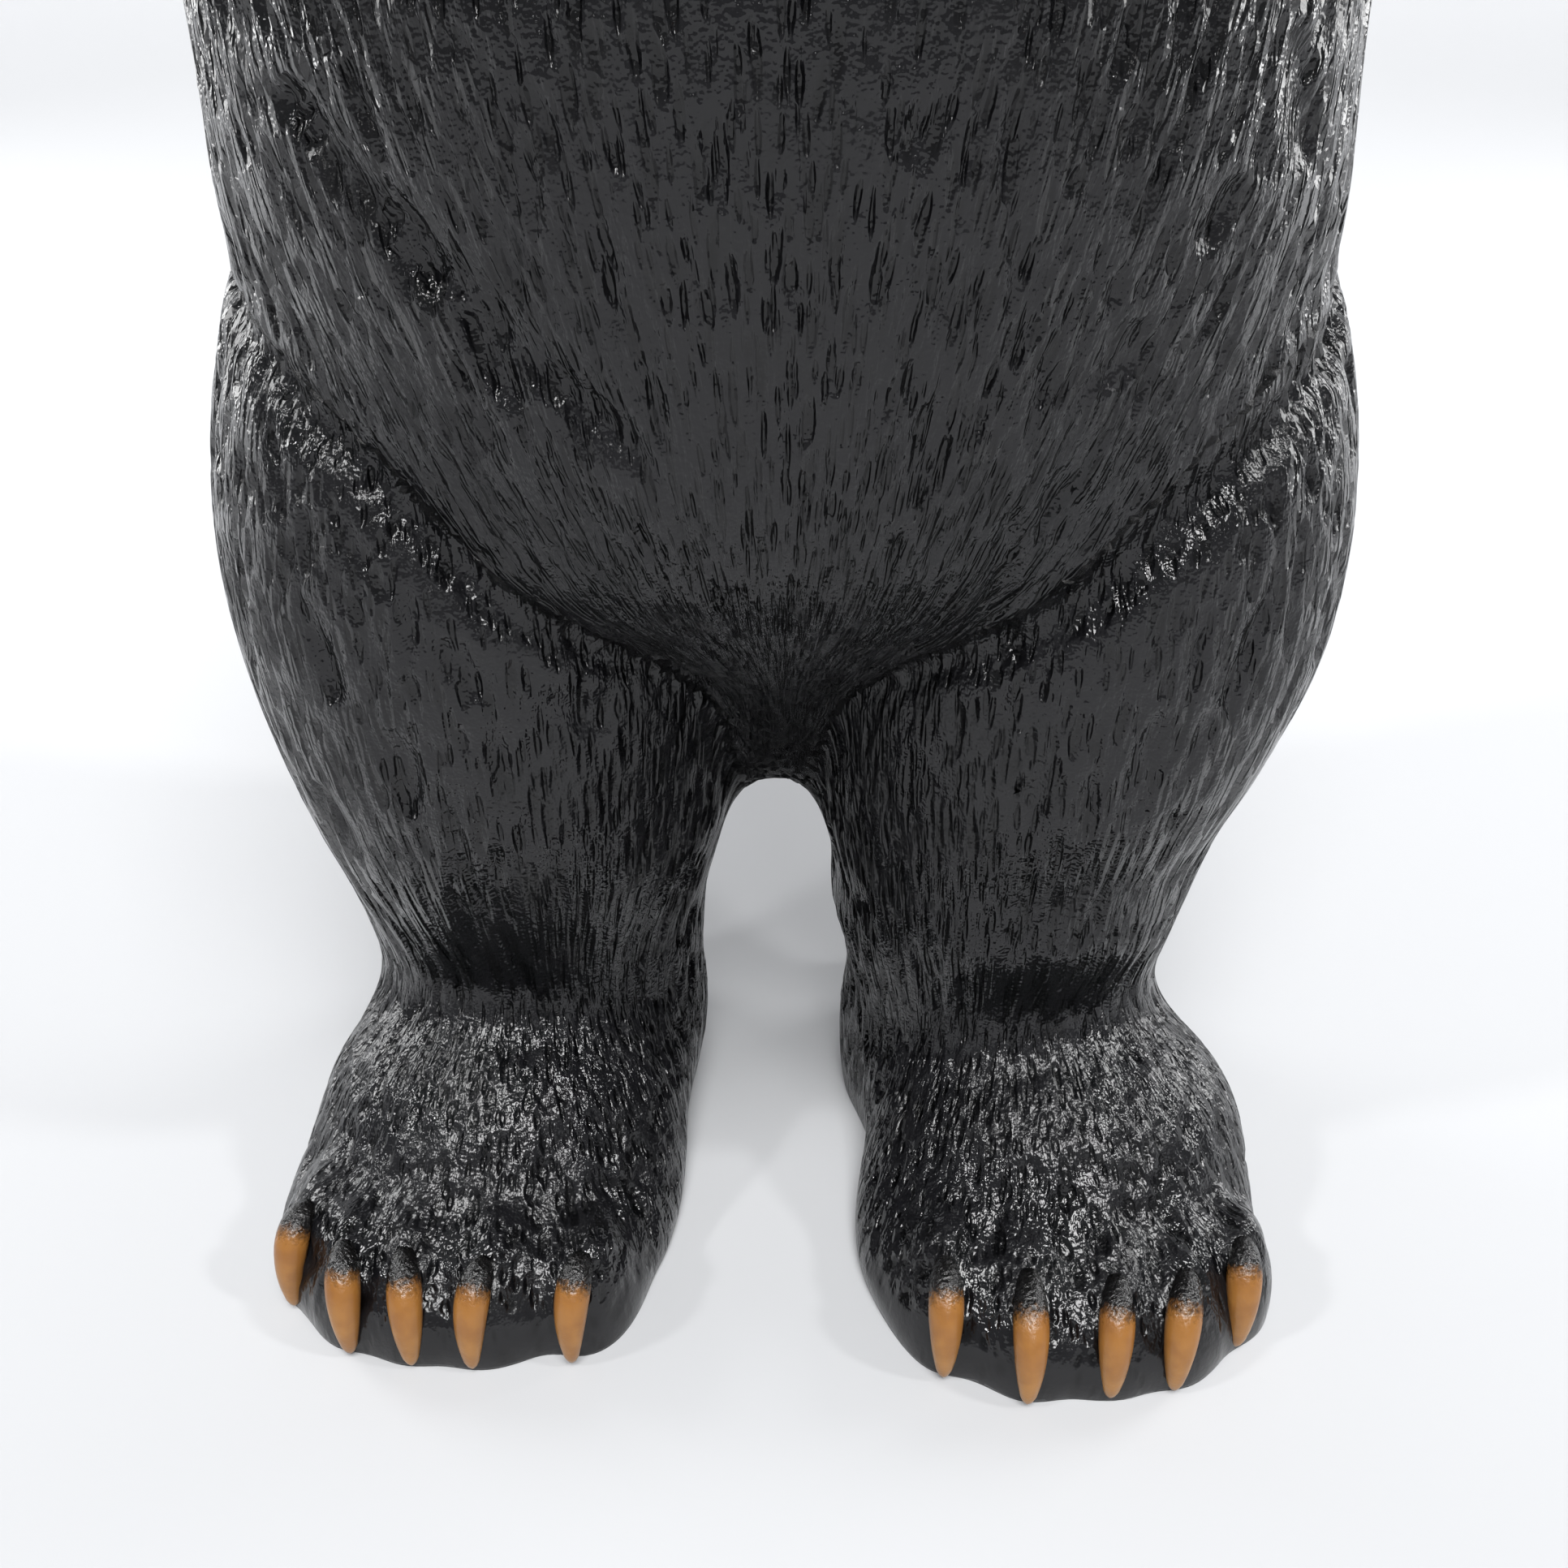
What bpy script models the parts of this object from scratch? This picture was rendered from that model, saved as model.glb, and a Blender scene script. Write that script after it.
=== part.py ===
"""Standing bear statue, cast in resin as one piece.

The statue stands upright on two flat soles and holds its forepaws before its
chest.  Metres, +Z up.  The bear faces -Y, so its own left side is at +X.  The
body is a row of named masses, blended into each other as a sculptor adds clay
and then carved with folds and locks of fur.  Claws and eyes are set in last.
The origin is on the ground, under the middle of the statue's box.
"""

import math
from dataclasses import dataclass

import bmesh
import bpy
import numpy as np

# Driving dimensions
HEIGHT = 0.900
FLANK_HALF_WIDTH = 0.1695
HIP_HALF_WIDTH = 0.1900
CROTCH_HEIGHT = 0.159
ANKLE_HEIGHT = 0.078
SHOULDER_HEIGHT = 0.640
STRIDE = 0.014              # how far the left foot stands before the right one
FOOT_HALF_WIDTH = 0.0730
FOOT_THICKNESS = 0.042
CLAW_WIDTH = 0.0120
EYE_RADIUS = 0.0075

# Mesh sizes
CLAY_CELL = 0.0090          # grid that the clay is first roughed out on
SKIN_CELL = 0.0042          # voxel of the closed skin
BODY_TRIANGLES = 7950
CLAW_SIDES = 6

LEFT = 1.0
RIGHT = -1.0


PAW_OUT = 0.094             # middle of a forepaw, from the middle of the chest
PAW_FRONT = -0.214          # front of a forepaw


# Blending and curves

def smooth_curve(knots, values, at):
    """Curve through values at rising knots, level beyond both ends."""
    knots = np.asarray(knots, dtype=float)
    values = np.asarray(values, dtype=float)
    slopes = np.gradient(values, knots)
    at = np.clip(at, knots[0], knots[-1])
    index = np.clip(np.searchsorted(knots, at) - 1, 0, len(knots) - 2)
    span = knots[index + 1] - knots[index]
    t = (at - knots[index]) / span
    rise = t * t * (3.0 - 2.0 * t)
    lead_in = t * (1.0 - t) ** 2 * span * slopes[index]
    lead_out = t * t * (t - 1.0) * span * slopes[index + 1]
    return values[index] * (1.0 - rise) + values[index + 1] * rise + lead_in + lead_out


def ramp(value, low, high):
    """Smooth step from 0 at low to 1 at high."""
    t = np.clip((value - low) / (high - low), 0.0, 1.0)
    return t * t * (3.0 - 2.0 * t)


def smooth_min(first, second, blend):
    """Union of two masses, filleted over the blend distance."""
    share = np.clip(0.5 + 0.5 * (second - first) / blend, 0.0, 1.0)
    return second + (first - second) * share - blend * share * (1.0 - share)


def smooth_max(first, second, blend):
    """Overlap of two masses, rounded over the blend distance."""
    return -smooth_min(-first, -second, blend)


# Kinds of mass

@dataclass(frozen=True)
class Ball:
    """Ellipsoid mass, tilted about X and then turned about Z, in degrees.

    A power above 2 makes it boxier.
    """

    centre: tuple
    radii: tuple
    blend: float
    tilt: float = 0.0
    turn: float = 0.0
    power: float = 2.0

    def distance(self, points):
        local = points - np.array(self.centre)
        turn = math.radians(self.turn)
        tilt = math.radians(self.tilt)
        x = local[:, 0] * math.cos(turn) + local[:, 1] * math.sin(turn)
        y = local[:, 1] * math.cos(turn) - local[:, 0] * math.sin(turn)
        z = local[:, 2] * math.cos(tilt) - y * math.sin(tilt)
        y = y * math.cos(tilt) + local[:, 2] * math.sin(tilt)
        radii = np.array(self.radii)
        scaled = np.maximum(np.abs(np.stack((x, y, z), axis=1) / radii), 1e-6)
        reach = np.sum(scaled ** self.power, axis=1) ** (1.0 / self.power)
        slope = np.linalg.norm(scaled ** (self.power - 1.0) / radii, axis=1)
        slope /= reach ** (self.power - 1.0)
        return (reach - 1.0) / slope


@dataclass(frozen=True)
class Limb:
    """Round rod through knots of (x, y, z, radius)."""

    knots: tuple
    blend: float
    bend: float = 0.004

    def distance(self, points):
        result = None
        for start, end in zip(self.knots[:-1], self.knots[1:]):
            origin = np.array(start[:3])
            axis = np.array(end[:3]) - origin
            local = points - origin
            along = np.clip(local @ axis / (axis @ axis), 0.0, 1.0)
            gap = np.linalg.norm(local - along[:, None] * axis, axis=1)
            rod = gap - (start[3] + (end[3] - start[3]) * along)
            result = rod if result is None else smooth_min(result, rod, self.bend)
        return result


@dataclass(frozen=True)
class Column:
    """Upright mass with an oval section: rows of (z, right, left, front, back)."""

    rows: tuple
    middle: float
    blend: float
    cap: float

    def distance(self, points):
        heights, right, left, front, back = np.array(self.rows).T
        z = points[:, 2]
        low_x = smooth_curve(heights, right, z)
        high_x = smooth_curve(heights, left, z)
        half = 0.5 * (high_x - low_x)
        x = points[:, 0] - 0.5 * (high_x + low_x)
        y = points[:, 1] - self.middle
        reach_front = self.middle - smooth_curve(heights, front, z)
        reach_back = smooth_curve(heights, back, z) - self.middle
        depth = np.where(y < 0.0, reach_front, reach_back)
        ratio = np.maximum(np.sqrt((x / half) ** 2 + (y / depth) ** 2), 1e-6)
        wall = np.hypot(x, y) * (1.0 - 1.0 / ratio)
        ends = np.abs(z - 0.5 * (heights[0] + heights[-1])) - 0.5 * (heights[-1] - heights[0])
        return smooth_max(wall, ends, self.cap)


# The masses of the figure

def torso():
    """Pear-shaped trunk: a belly that overhangs the thighs, up to the neck."""
    flank = FLANK_HALF_WIDTH
    rows = (
        (CROTCH_HEIGHT - 0.012, -0.035, 0.035, -0.022, 0.045),
        (CROTCH_HEIGHT + 0.015, -0.065, 0.065, -0.036, 0.072),
        (0.206, -0.095, 0.095, -0.058, 0.096),
        (0.234, -0.120, 0.120, -0.089, 0.112),
        (0.264, -0.143, 0.143, -0.124, 0.121),
        (0.295, -0.157, 0.157, -0.139, 0.127),
        (0.340, -flank, flank, -0.147, 0.130),
        (0.400, -flank - 0.002, flank - 0.001, -0.154, 0.130),
        (0.455, -flank, flank - 0.005, -0.151, 0.126),
        (0.530, -0.158, 0.156, -0.137, 0.121),
        (0.600, -0.146, 0.146, -0.119, 0.117),
        (0.660, -0.126, 0.126, -0.103, 0.110),
        (0.715, -0.098, 0.098, -0.085, 0.092),
        (0.750, -0.070, 0.070, -0.070, 0.072),
    )
    return Column(rows, middle=0.0, blend=0.020, cap=0.030)


def right_leg():
    """Right hind leg, from the sole to the top of the thigh."""
    hip = -HIP_HALF_WIDTH
    rows = (
        (-0.020, -0.156, -0.046, -0.052, 0.066),
        (0.030, -0.160, -0.034, -0.056, 0.064),
        (ANKLE_HEIGHT, -0.1600, -0.0320, -0.062, 0.060),
        (0.100, -0.1635, -0.0300, -0.068, 0.062),
        (0.120, -0.1675, -0.0250, -0.078, 0.067),
        (0.150, -0.1755, -0.0170, -0.092, 0.078),
        (0.183, -0.1830, -0.0140, -0.102, 0.089),
        (0.222, hip + 0.001, -0.0110, -0.109, 0.100),
        (0.250, hip, -0.0130, -0.112, 0.106),
        (0.290, hip + 0.004, -0.0220, -0.106, 0.106),
        (0.325, hip + 0.013, -0.0400, -0.090, 0.094),
        (0.352, hip + 0.024, -0.0700, -0.060, 0.070),
    )
    return Column(rows, middle=0.0, blend=0.016, cap=0.030)


def left_leg():
    """Left hind leg, a short stride before the right one."""
    hip = HIP_HALF_WIDTH - 0.002
    rows = (
        (-0.020, 0.030, 0.138, -0.052 - STRIDE, 0.066 - STRIDE),
        (0.030, 0.029, 0.143, -0.056 - STRIDE, 0.064 - STRIDE),
        (ANKLE_HEIGHT, 0.0235, 0.1450, -0.062 - STRIDE, 0.060 - STRIDE),
        (0.100, 0.0185, 0.1500, -0.068 - STRIDE, 0.062 - STRIDE),
        (0.120, 0.0180, 0.1530, -0.078 - STRIDE, 0.067 - STRIDE),
        (0.150, 0.0115, 0.1615, -0.096, 0.074),
        (0.183, 0.0105, 0.1740, -0.106, 0.086),
        (0.222, 0.0105, hip - 0.002, -0.111, 0.099),
        (0.250, 0.0130, hip, -0.113, 0.106),
        (0.290, 0.0220, hip - 0.003, -0.107, 0.106),
        (0.325, 0.0400, hip - 0.012, -0.090, 0.094),
        (0.352, 0.0700, hip - 0.023, -0.060, 0.070),
    )
    return Column(rows, middle=-0.5 * STRIDE, blend=0.016, cap=0.030)


def rump():
    """Haunches, buttocks and the stub of a tail."""
    masses = []
    for side in (RIGHT, LEFT):
        masses.append(Ball((side * 0.096, 0.042, 0.310), (0.074, 0.076, 0.110), blend=0.030))
        masses.append(Ball((side * 0.075, 0.056, 0.238), (0.090, 0.080, 0.088), blend=0.030))
    masses.append(Limb(((0.0, 0.106, 0.290, 0.030), (0.0, 0.139, 0.262, 0.021)), blend=0.018))
    return masses


@dataclass(frozen=True)
class FootPlan:
    """Where one hind foot stands, seen from above.

    Each claw is given by the plan position of its root, on top of the toe, and
    of its tip, at the ground.
    """

    heel: tuple
    instep: tuple
    ball: tuple
    splay: float
    claws: tuple


RIGHT_FOOT = FootPlan(
    heel=(-0.097, 0.026),
    instep=(-0.1085, -0.048),
    ball=(-0.1135, -0.084),
    splay=-12.0,
    claws=(
        ((-0.1690, -0.1150), (-0.1730, -0.1270)),
        ((-0.1505, -0.1345), (-0.1490, -0.1480)),
        ((-0.1290, -0.1380), (-0.1270, -0.1530)),
        ((-0.1020, -0.1417), (-0.1055, -0.1545)),
        ((-0.0690, -0.1400), (-0.0720, -0.1520)),
    ),
)
LEFT_FOOT = FootPlan(
    heel=(0.084, 0.026 - STRIDE),
    instep=(0.1040, -0.048 - STRIDE),
    ball=(0.0995, -0.084 - STRIDE),
    splay=2.0,
    claws=(
        ((0.0545, -0.1417), (0.0540, -0.1580)),
        ((0.0820, -0.1475), (0.0810, -0.1690)),
        ((0.1110, -0.1500), (0.1090, -0.1665)),
        ((0.1350, -0.1475), (0.1310, -0.1635)),
        ((0.1575, -0.1330), (0.1560, -0.1450)),
    ),
)
TOE_RADIUS = 0.0130
TOE_HEIGHT = 0.0370
CLAW_ROOT_HEIGHT = 0.0350


def foot(plan):
    """Heel, instep and pad of one hind foot, with a toe behind every claw."""
    masses = [
        Ball((*plan.heel, 0.022), (0.056, 0.052, 0.050), blend=0.024, power=2.4),
        Ball((*plan.instep, 0.020), (0.0705, 0.070, 0.060), blend=0.020, turn=plan.splay,
             power=2.0),
        Ball((*plan.ball, 0.006), (FOOT_HALF_WIDTH, 0.070, FOOT_THICKNESS - 0.006),
             blend=0.016, turn=plan.splay, power=2.1),
    ]
    for root, tip in plan.claws:
        run = np.array(tip) - np.array(root)
        length = np.linalg.norm(run)
        back = 1.85 * length
        middle = np.array(tip) - back * run / length
        masses.append(Ball((*middle, 0.002), (TOE_RADIUS, back - 0.0035, TOE_HEIGHT), blend=0.012,
                           turn=math.degrees(math.atan2(run[0], -run[1]))))
    return masses


def foot_claws(plan):
    """Spines of one foot's claws: root on top of the toe, knuckle and tip."""
    spines = []
    for root, tip in plan.claws:
        run = np.array(tip) - np.array(root)
        proud = 0.0025 * run / np.linalg.norm(run)
        spines.append(((*(root - proud), CLAW_ROOT_HEIGHT), (*(tip + proud), 0.0335),
                       (*(tip + 0.6 * proud), 0.0020)))
    return spines


def arm(side):
    """One foreleg: shoulder, upper arm, forearm resting on the belly, and the paw."""
    shoulder = (side * 0.112, 0.006, SHOULDER_HEIGHT)
    elbow = (side * 0.158, -0.018, 0.512)
    wrist = (side * 0.099, -0.152, 0.545)
    return [
        Ball(shoulder, (0.066, 0.078, 0.092), blend=0.040, tilt=-10.0),
        Limb(((*shoulder, 0.062), (*elbow, 0.049)), blend=0.024),
        Limb(((*elbow, 0.048), (*wrist, 0.040)), blend=0.022),
        Ball((side * PAW_OUT, PAW_FRONT + 0.030, 0.530), (0.042, 0.034, 0.044), blend=0.016,
             tilt=-22.0, turn=side * -12.0),
    ]


def paw_claws(side):
    """Spines of one forepaw's claws, hanging over its front edge."""
    spines = []
    for place in (-2, -1, 0, 1, 2):
        x = side * PAW_OUT + 0.0145 * place
        y = PAW_FRONT + 0.0022 * place * place
        spines.append(((x, y + 0.007, 0.516), (x, y - 0.009, 0.513), (x, y - 0.004, 0.482)))
    return spines


def head():
    """Neck, skull, muzzle, jaw, cheeks, brows, nose and ears."""
    masses = [
        Ball((0.0, 0.046, 0.668), (0.118, 0.072, 0.082), blend=0.050),
        Limb(((0.0, 0.018, 0.670, 0.096), (0.0, -0.012, 0.776, 0.078)), blend=0.045),
        Ball((0.0, -0.030, 0.810), (0.079, 0.083, 0.071), blend=0.022),
        Limb(((0.0, -0.088, 0.797, 0.049), (0.0, -0.146, 0.787, 0.0345)), blend=0.020),
        Limb(((0.0, -0.075, 0.764, 0.036), (0.0, -0.140, 0.766, 0.0265)), blend=0.012),
        Ball((0.0, -0.178, 0.802), (0.0190, 0.0105, 0.0125), blend=0.004, tilt=-20.0),
    ]
    for side in (RIGHT, LEFT):
        masses.append(Ball((side * 0.055, -0.036, 0.784), (0.042, 0.056, 0.050), blend=0.022))
        masses.append(Ball((side * 0.032, -0.094, 0.834), (0.021, 0.018, 0.010), blend=0.014))
        masses.append(Ball((side * 0.063, -0.006, 0.869), (0.030, 0.014, 0.031), blend=0.010,
                           turn=side * 14.0))
    return masses


def face_carving():
    """Hollows of the face: ear cups, eye sockets, nostrils and the mouth."""
    hollows = [Limb(((0.0, -0.181, 0.790, 0.0015), (0.0, -0.176, 0.774, 0.0015)), blend=0.002)]
    for side in (RIGHT, LEFT):
        hollows.append(Ball((side * 0.065, -0.020, 0.871), (0.017, 0.009, 0.018), blend=0.006,
                            turn=side * 14.0))
        hollows.append(Ball((side * 0.041, -0.107, 0.819), (0.0110, 0.0090, 0.0085), blend=0.006))
        hollows.append(Ball((side * 0.0090, -0.188, 0.801), (0.0045, 0.0055, 0.0032), blend=0.002))
        hollows.append(Limb(((0.0, -0.179, 0.773, 0.0028), (side * 0.022, -0.164, 0.7715, 0.0030),
                             (side * 0.041, -0.118, 0.7700, 0.0030),
                             (side * 0.046, -0.096, 0.7640, 0.0020)), blend=0.003))
    return hollows


def eyeballs():
    """Centres of both eyes, half sunk into their sockets."""
    return [(side * 0.0395, -0.1010, 0.8190) for side in (RIGHT, LEFT)]


# Carving of folds and locks

@dataclass(frozen=True)
class Groove:
    """Furrow carved along a path of (across, height) seen from one side.

    The side is front, back, right or left of the statue.  Depth and width fade
    to nothing at both ends, as a gouge does.
    """

    side: str
    path: tuple
    depth: float
    width: float

    def carve(self, points, value):
        """Add the furrow's depth to the signed distances of the points."""
        across = points[:, 0] if self.side in ("front", "back") else points[:, 1]
        facing = {"front": -points[:, 1], "back": points[:, 1],
                  "right": -points[:, 0] - 0.08, "left": points[:, 0] - 0.08}[self.side]
        path = np.array(self.path)
        margin = 3.0 * self.width
        low = path.min(axis=0) - margin
        high = path.max(axis=0) + margin
        near = (across > low[0]) & (across < high[0]) & (points[:, 2] > low[1])
        near &= (points[:, 2] < high[1]) & (facing > 0.0)
        if not near.any():
            return
        spot = np.stack((across[near], points[near, 2]), axis=1)
        runs = np.linalg.norm(np.diff(path, axis=0), axis=1)
        total = runs.sum()
        nearest = np.full(len(spot), np.inf)
        place = np.zeros(len(spot))
        passed = 0.0
        for start, end, run in zip(path[:-1], path[1:], runs):
            axis = (end - start) / run
            along = np.clip((spot - start) @ axis, 0.0, run)
            gap = np.linalg.norm(spot - start - along[:, None] * axis, axis=1)
            closer = gap < nearest
            nearest[closer] = gap[closer]
            place[closer] = (passed + along[closer]) / total
            passed += run
        taper = np.sqrt(np.clip(4.0 * place * (1.0 - place), 0.0, 1.0))
        fade = ramp(facing[near], 0.0, 0.025)
        width = self.width * (0.35 + 0.65 * taper)
        value[near] += self.depth * taper * fade * np.exp(-(nearest / width) ** 2)


def belly_folds():
    """The deep V where the belly hangs over the thighs, and the folds inside it."""
    right_fold = ((-0.180, 0.343), (-0.150, 0.326), (-0.110, 0.297), (-0.086, 0.268),
                  (-0.064, 0.250), (-0.038, 0.230), (-0.012, 0.203))
    left_fold = ((0.180, 0.352), (0.158, 0.322), (0.130, 0.303), (0.100, 0.278),
                 (0.073, 0.252), (0.042, 0.231), (0.012, 0.203))
    inner_fold = ((-0.125, 0.400), (-0.095, 0.372), (-0.066, 0.345), (-0.040, 0.322))
    return [
        Groove("front", right_fold, 0.0060, 0.0070),
        Groove("front", left_fold, 0.0060, 0.0070),
        Groove("front", inner_fold, 0.0040, 0.0065),
    ]


def photo_gouges():
    """Single long gouges on belly and thighs: where each starts and ends."""
    strokes = (
        ((-0.122, 0.402), (-0.112, 0.386)), ((-0.096, 0.374), (-0.084, 0.355)),
        ((-0.079, 0.354), (-0.068, 0.327)), ((-0.055, 0.335), (-0.034, 0.313)),
        ((0.124, 0.414), (0.134, 0.378)), ((0.112, 0.380), (0.104, 0.362)),
        ((0.090, 0.348), (0.083, 0.330)), ((0.038, 0.334), (0.034, 0.302)),
        ((0.075, 0.310), (0.070, 0.286)), ((0.062, 0.300), (0.055, 0.246)),
        ((-0.100, 0.254), (-0.086, 0.232)), ((-0.068, 0.232), (-0.056, 0.212)),
        ((-0.140, 0.262), (-0.132, 0.225)), ((-0.118, 0.222), (-0.114, 0.186)),
        ((0.140, 0.262), (0.132, 0.222)), ((0.112, 0.230), (0.108, 0.190)),
        ((0.078, 0.214), (0.076, 0.176)), ((-0.150, 0.190), (-0.142, 0.158)),
    )
    return [Groove("front", stroke, 0.0035, 0.0045) for stroke in strokes]


def lock_rows(side, across, heights, length, pitch):
    """Staggered rows of locks, each a gouge that curls a little to one side."""
    grooves = []
    rows = int(round((heights[1] - heights[0]) / (0.8 * length)))
    for row in range(rows):
        top = heights[1] - 0.8 * length * row
        count = int((across[1] - across[0]) / pitch)
        for place in range(count):
            sway = math.sin(2.7 * place + 4.1 * row)
            u = across[0] + pitch * (place + 0.5 + 0.5 * (row % 2)) + 0.18 * pitch * sway
            if u > across[1]:
                continue
            curl = 0.20 * length * math.sin(1.3 * row + 2.1 * place)
            fall = length * (0.85 + 0.2 * sway)
            path = ((u, top), (u + 0.6 * curl, top - 0.5 * fall), (u + 0.4 * curl, top - fall))
            grooves.append(Groove(side, path, 0.0032, 0.0050))
    return grooves


def fur_carving():
    """Every fold and lock that shows from a step away."""
    grooves = belly_folds() + photo_gouges()
    grooves += lock_rows("front", (-0.085, 0.085), (0.600, 0.700), 0.040, 0.030)
    grooves += lock_rows("back", (-0.120, 0.120), (0.380, 0.700), 0.062, 0.034)
    grooves += lock_rows("back", (-0.150, 0.150), (0.190, 0.330), 0.055, 0.040)
    for side in ("right", "left"):
        grooves += lock_rows(side, (-0.070, 0.090), (0.540, 0.690), 0.052, 0.034)
        grooves += lock_rows(side, (-0.080, 0.090), (0.150, 0.460), 0.060, 0.040)
    return grooves


def figure_masses():
    """Every mass of the figure, in the order in which they are added."""
    masses = [torso(), right_leg(), left_leg()]
    masses += rump()
    for side in (RIGHT, LEFT):
        masses += arm(side)
    masses += head()
    for plan in (RIGHT_FOOT, LEFT_FOOT):
        masses += foot(plan)
    return masses


MASSES = figure_masses()
HOLLOWS = face_carving()
GROOVES = fur_carving()


def figure(points):
    """Signed distance from the carved figure, in metres, below zero inside."""
    result = MASSES[0].distance(points)
    for mass in MASSES[1:]:
        result = smooth_min(result, mass.distance(points), mass.blend)
    for hollow in HOLLOWS:
        result = smooth_max(result, -hollow.distance(points), hollow.blend)
    for groove in GROOVES:
        groove.carve(points, result)
    return result


def surface_slope(points, value):
    """Gradient of the figure at the points."""
    step = 0.0004
    slope = np.empty_like(points)
    for axis in range(3):
        ahead = points.copy()
        ahead[:, axis] += step
        slope[:, axis] = (figure(ahead) - value) / step
    return slope


def settle(points, rounds=4, reach=0.004):
    """Move points along the slope of the figure until they lie on its surface."""
    for _ in range(rounds):
        value = figure(points)
        slope = surface_slope(points, value)
        steepness = np.maximum(np.sum(slope * slope, axis=1), 0.25)
        move = slope * (value / steepness)[:, None]
        length = np.linalg.norm(move, axis=1)
        move *= np.minimum(1.0, reach / np.maximum(length, 1e-9))[:, None]
        points = points - move
    return points


# Mesh helpers

def read_points(mesh):
    """Vertex places of a mesh as an array."""
    flat = np.empty(len(mesh.vertices) * 3)
    mesh.vertices.foreach_get("co", flat)
    return flat.reshape(-1, 3)


def write_points(mesh, points):
    """Move a mesh's vertices to the places given."""
    mesh.vertices.foreach_set("co", points.ravel())
    mesh.update()


def apply_modifiers(piece):
    """Replace an object's mesh by its evaluated one and clear its modifiers."""
    graph = bpy.context.evaluated_depsgraph_get()
    mesh = bpy.data.meshes.new_from_object(piece.evaluated_get(graph))
    piece.modifiers.clear()
    old = piece.data
    piece.data = mesh
    bpy.data.meshes.remove(old)


def rough_out():
    """Closed blocks of clay: the walls of every grid cell inside the figure."""
    low = np.array((-0.23, -0.25, -0.06))
    high = np.array((0.23, 0.19, HEIGHT + 0.02))
    count = np.ceil((high - low) / CLAY_CELL).astype(int)
    axes = [low[axis] + CLAY_CELL * np.arange(count[axis]) for axis in range(3)]
    grid = np.stack(np.meshgrid(*axes, indexing="ij"), axis=-1)
    inside = (figure(grid.reshape(-1, 3)) < 0.0).reshape(count)
    corners = {}
    faces = []
    for axis in range(3):
        step = np.zeros(3, dtype=int)
        step[axis] = 1
        across = np.roll(step, 1)
        along = np.roll(step, 2)
        change = np.diff(inside.astype(int), axis=axis)
        for cell in np.argwhere(change != 0):
            base = cell + step
            ring = [base, base + across, base + across + along, base + along]
            if change[tuple(cell)] > 0:
                ring.reverse()
            faces.append([corners.setdefault(tuple(corner), len(corners)) for corner in ring])
    points = low + CLAY_CELL * (np.array(list(corners)) - 0.5)
    mesh = bpy.data.meshes.new("clay")
    mesh.from_pydata(points.tolist(), [], faces)
    return mesh


def skin_of_clay():
    """The statue's smooth closed skin, settled on the figure."""
    piece = bpy.data.objects.new("bear_statue", rough_out())
    bpy.context.collection.objects.link(piece)
    skin = piece.modifiers.new("skin", "REMESH")
    skin.mode = "VOXEL"
    skin.voxel_size = SKIN_CELL
    relax = piece.modifiers.new("relax", "SMOOTH")
    relax.iterations = 4
    relax.factor = 0.5
    apply_modifiers(piece)
    write_points(piece.data, settle(read_points(piece.data)))
    return piece


def thin_out(piece):
    """Keep the triangles where the form turns."""
    faces = sum(len(face.vertices) - 2 for face in piece.data.polygons)
    thin = piece.modifiers.new("thin", "DECIMATE")
    thin.ratio = BODY_TRIANGLES / faces
    thin.use_collapse_triangulate = True
    apply_modifiers(piece)


def stand_on_soles(piece):
    """Cut the feet flat at the ground and close both soles."""
    shape = bmesh.new()
    shape.from_mesh(piece.data)
    whole = shape.verts[:] + shape.edges[:] + shape.faces[:]
    cut = bmesh.ops.bisect_plane(shape, geom=whole, plane_co=(0, 0, 0), plane_no=(0, 0, 1),
                                 clear_inner=True)
    rim = [item for item in cut["geom_cut"] if isinstance(item, bmesh.types.BMEdge)]
    bmesh.ops.holes_fill(shape, edges=rim, sides=0)
    bmesh.ops.triangulate(shape, faces=shape.faces[:])
    bmesh.ops.recalc_face_normals(shape, faces=shape.faces[:])
    shape.to_mesh(piece.data)
    shape.free()


def centre_over_origin(mesh):
    """Slide the mesh so that the middle of its box is over the origin."""
    points = read_points(mesh)
    middle = 0.5 * (points.min(axis=0) + points.max(axis=0))
    middle[2] = 0.0
    write_points(mesh, points - middle)


def claw_rings(spine):
    """Rings of one almond-shaped claw and their faces, pointed at the tip."""
    root, knuckle, tip = (np.array(point) for point in spine)
    girth = ((0.0, 0.60), (0.20, 0.92), (0.45, 1.0), (0.68, 0.80), (0.88, 0.45), (1.0, 0.14))
    points = []
    for t, share in girth:
        centre = (1.0 - t) ** 2 * root + 2.0 * t * (1.0 - t) * knuckle + t * t * tip
        heading = (1.0 - t) * (knuckle - root) + t * (tip - knuckle)
        heading /= np.linalg.norm(heading)
        across = np.cross(knuckle - root, tip - knuckle)
        across /= np.linalg.norm(across)
        outward = np.cross(across, heading)
        for side in range(CLAW_SIDES):
            turn = 2.0 * math.pi * side / CLAW_SIDES
            spread = math.cos(turn) * across + 0.90 * math.sin(turn) * outward
            points.append(centre + 0.5 * CLAW_WIDTH * share * spread)
    last = len(girth) - 1
    faces = [tuple(range(CLAW_SIDES)), tuple(range(last * CLAW_SIDES, len(points)))]
    for ring in range(last):
        for side in range(CLAW_SIDES):
            here = ring * CLAW_SIDES + side
            after = ring * CLAW_SIDES + (side + 1) % CLAW_SIDES
            faces.append((here, after, after + CLAW_SIDES, here + CLAW_SIDES))
    return points, faces


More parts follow.
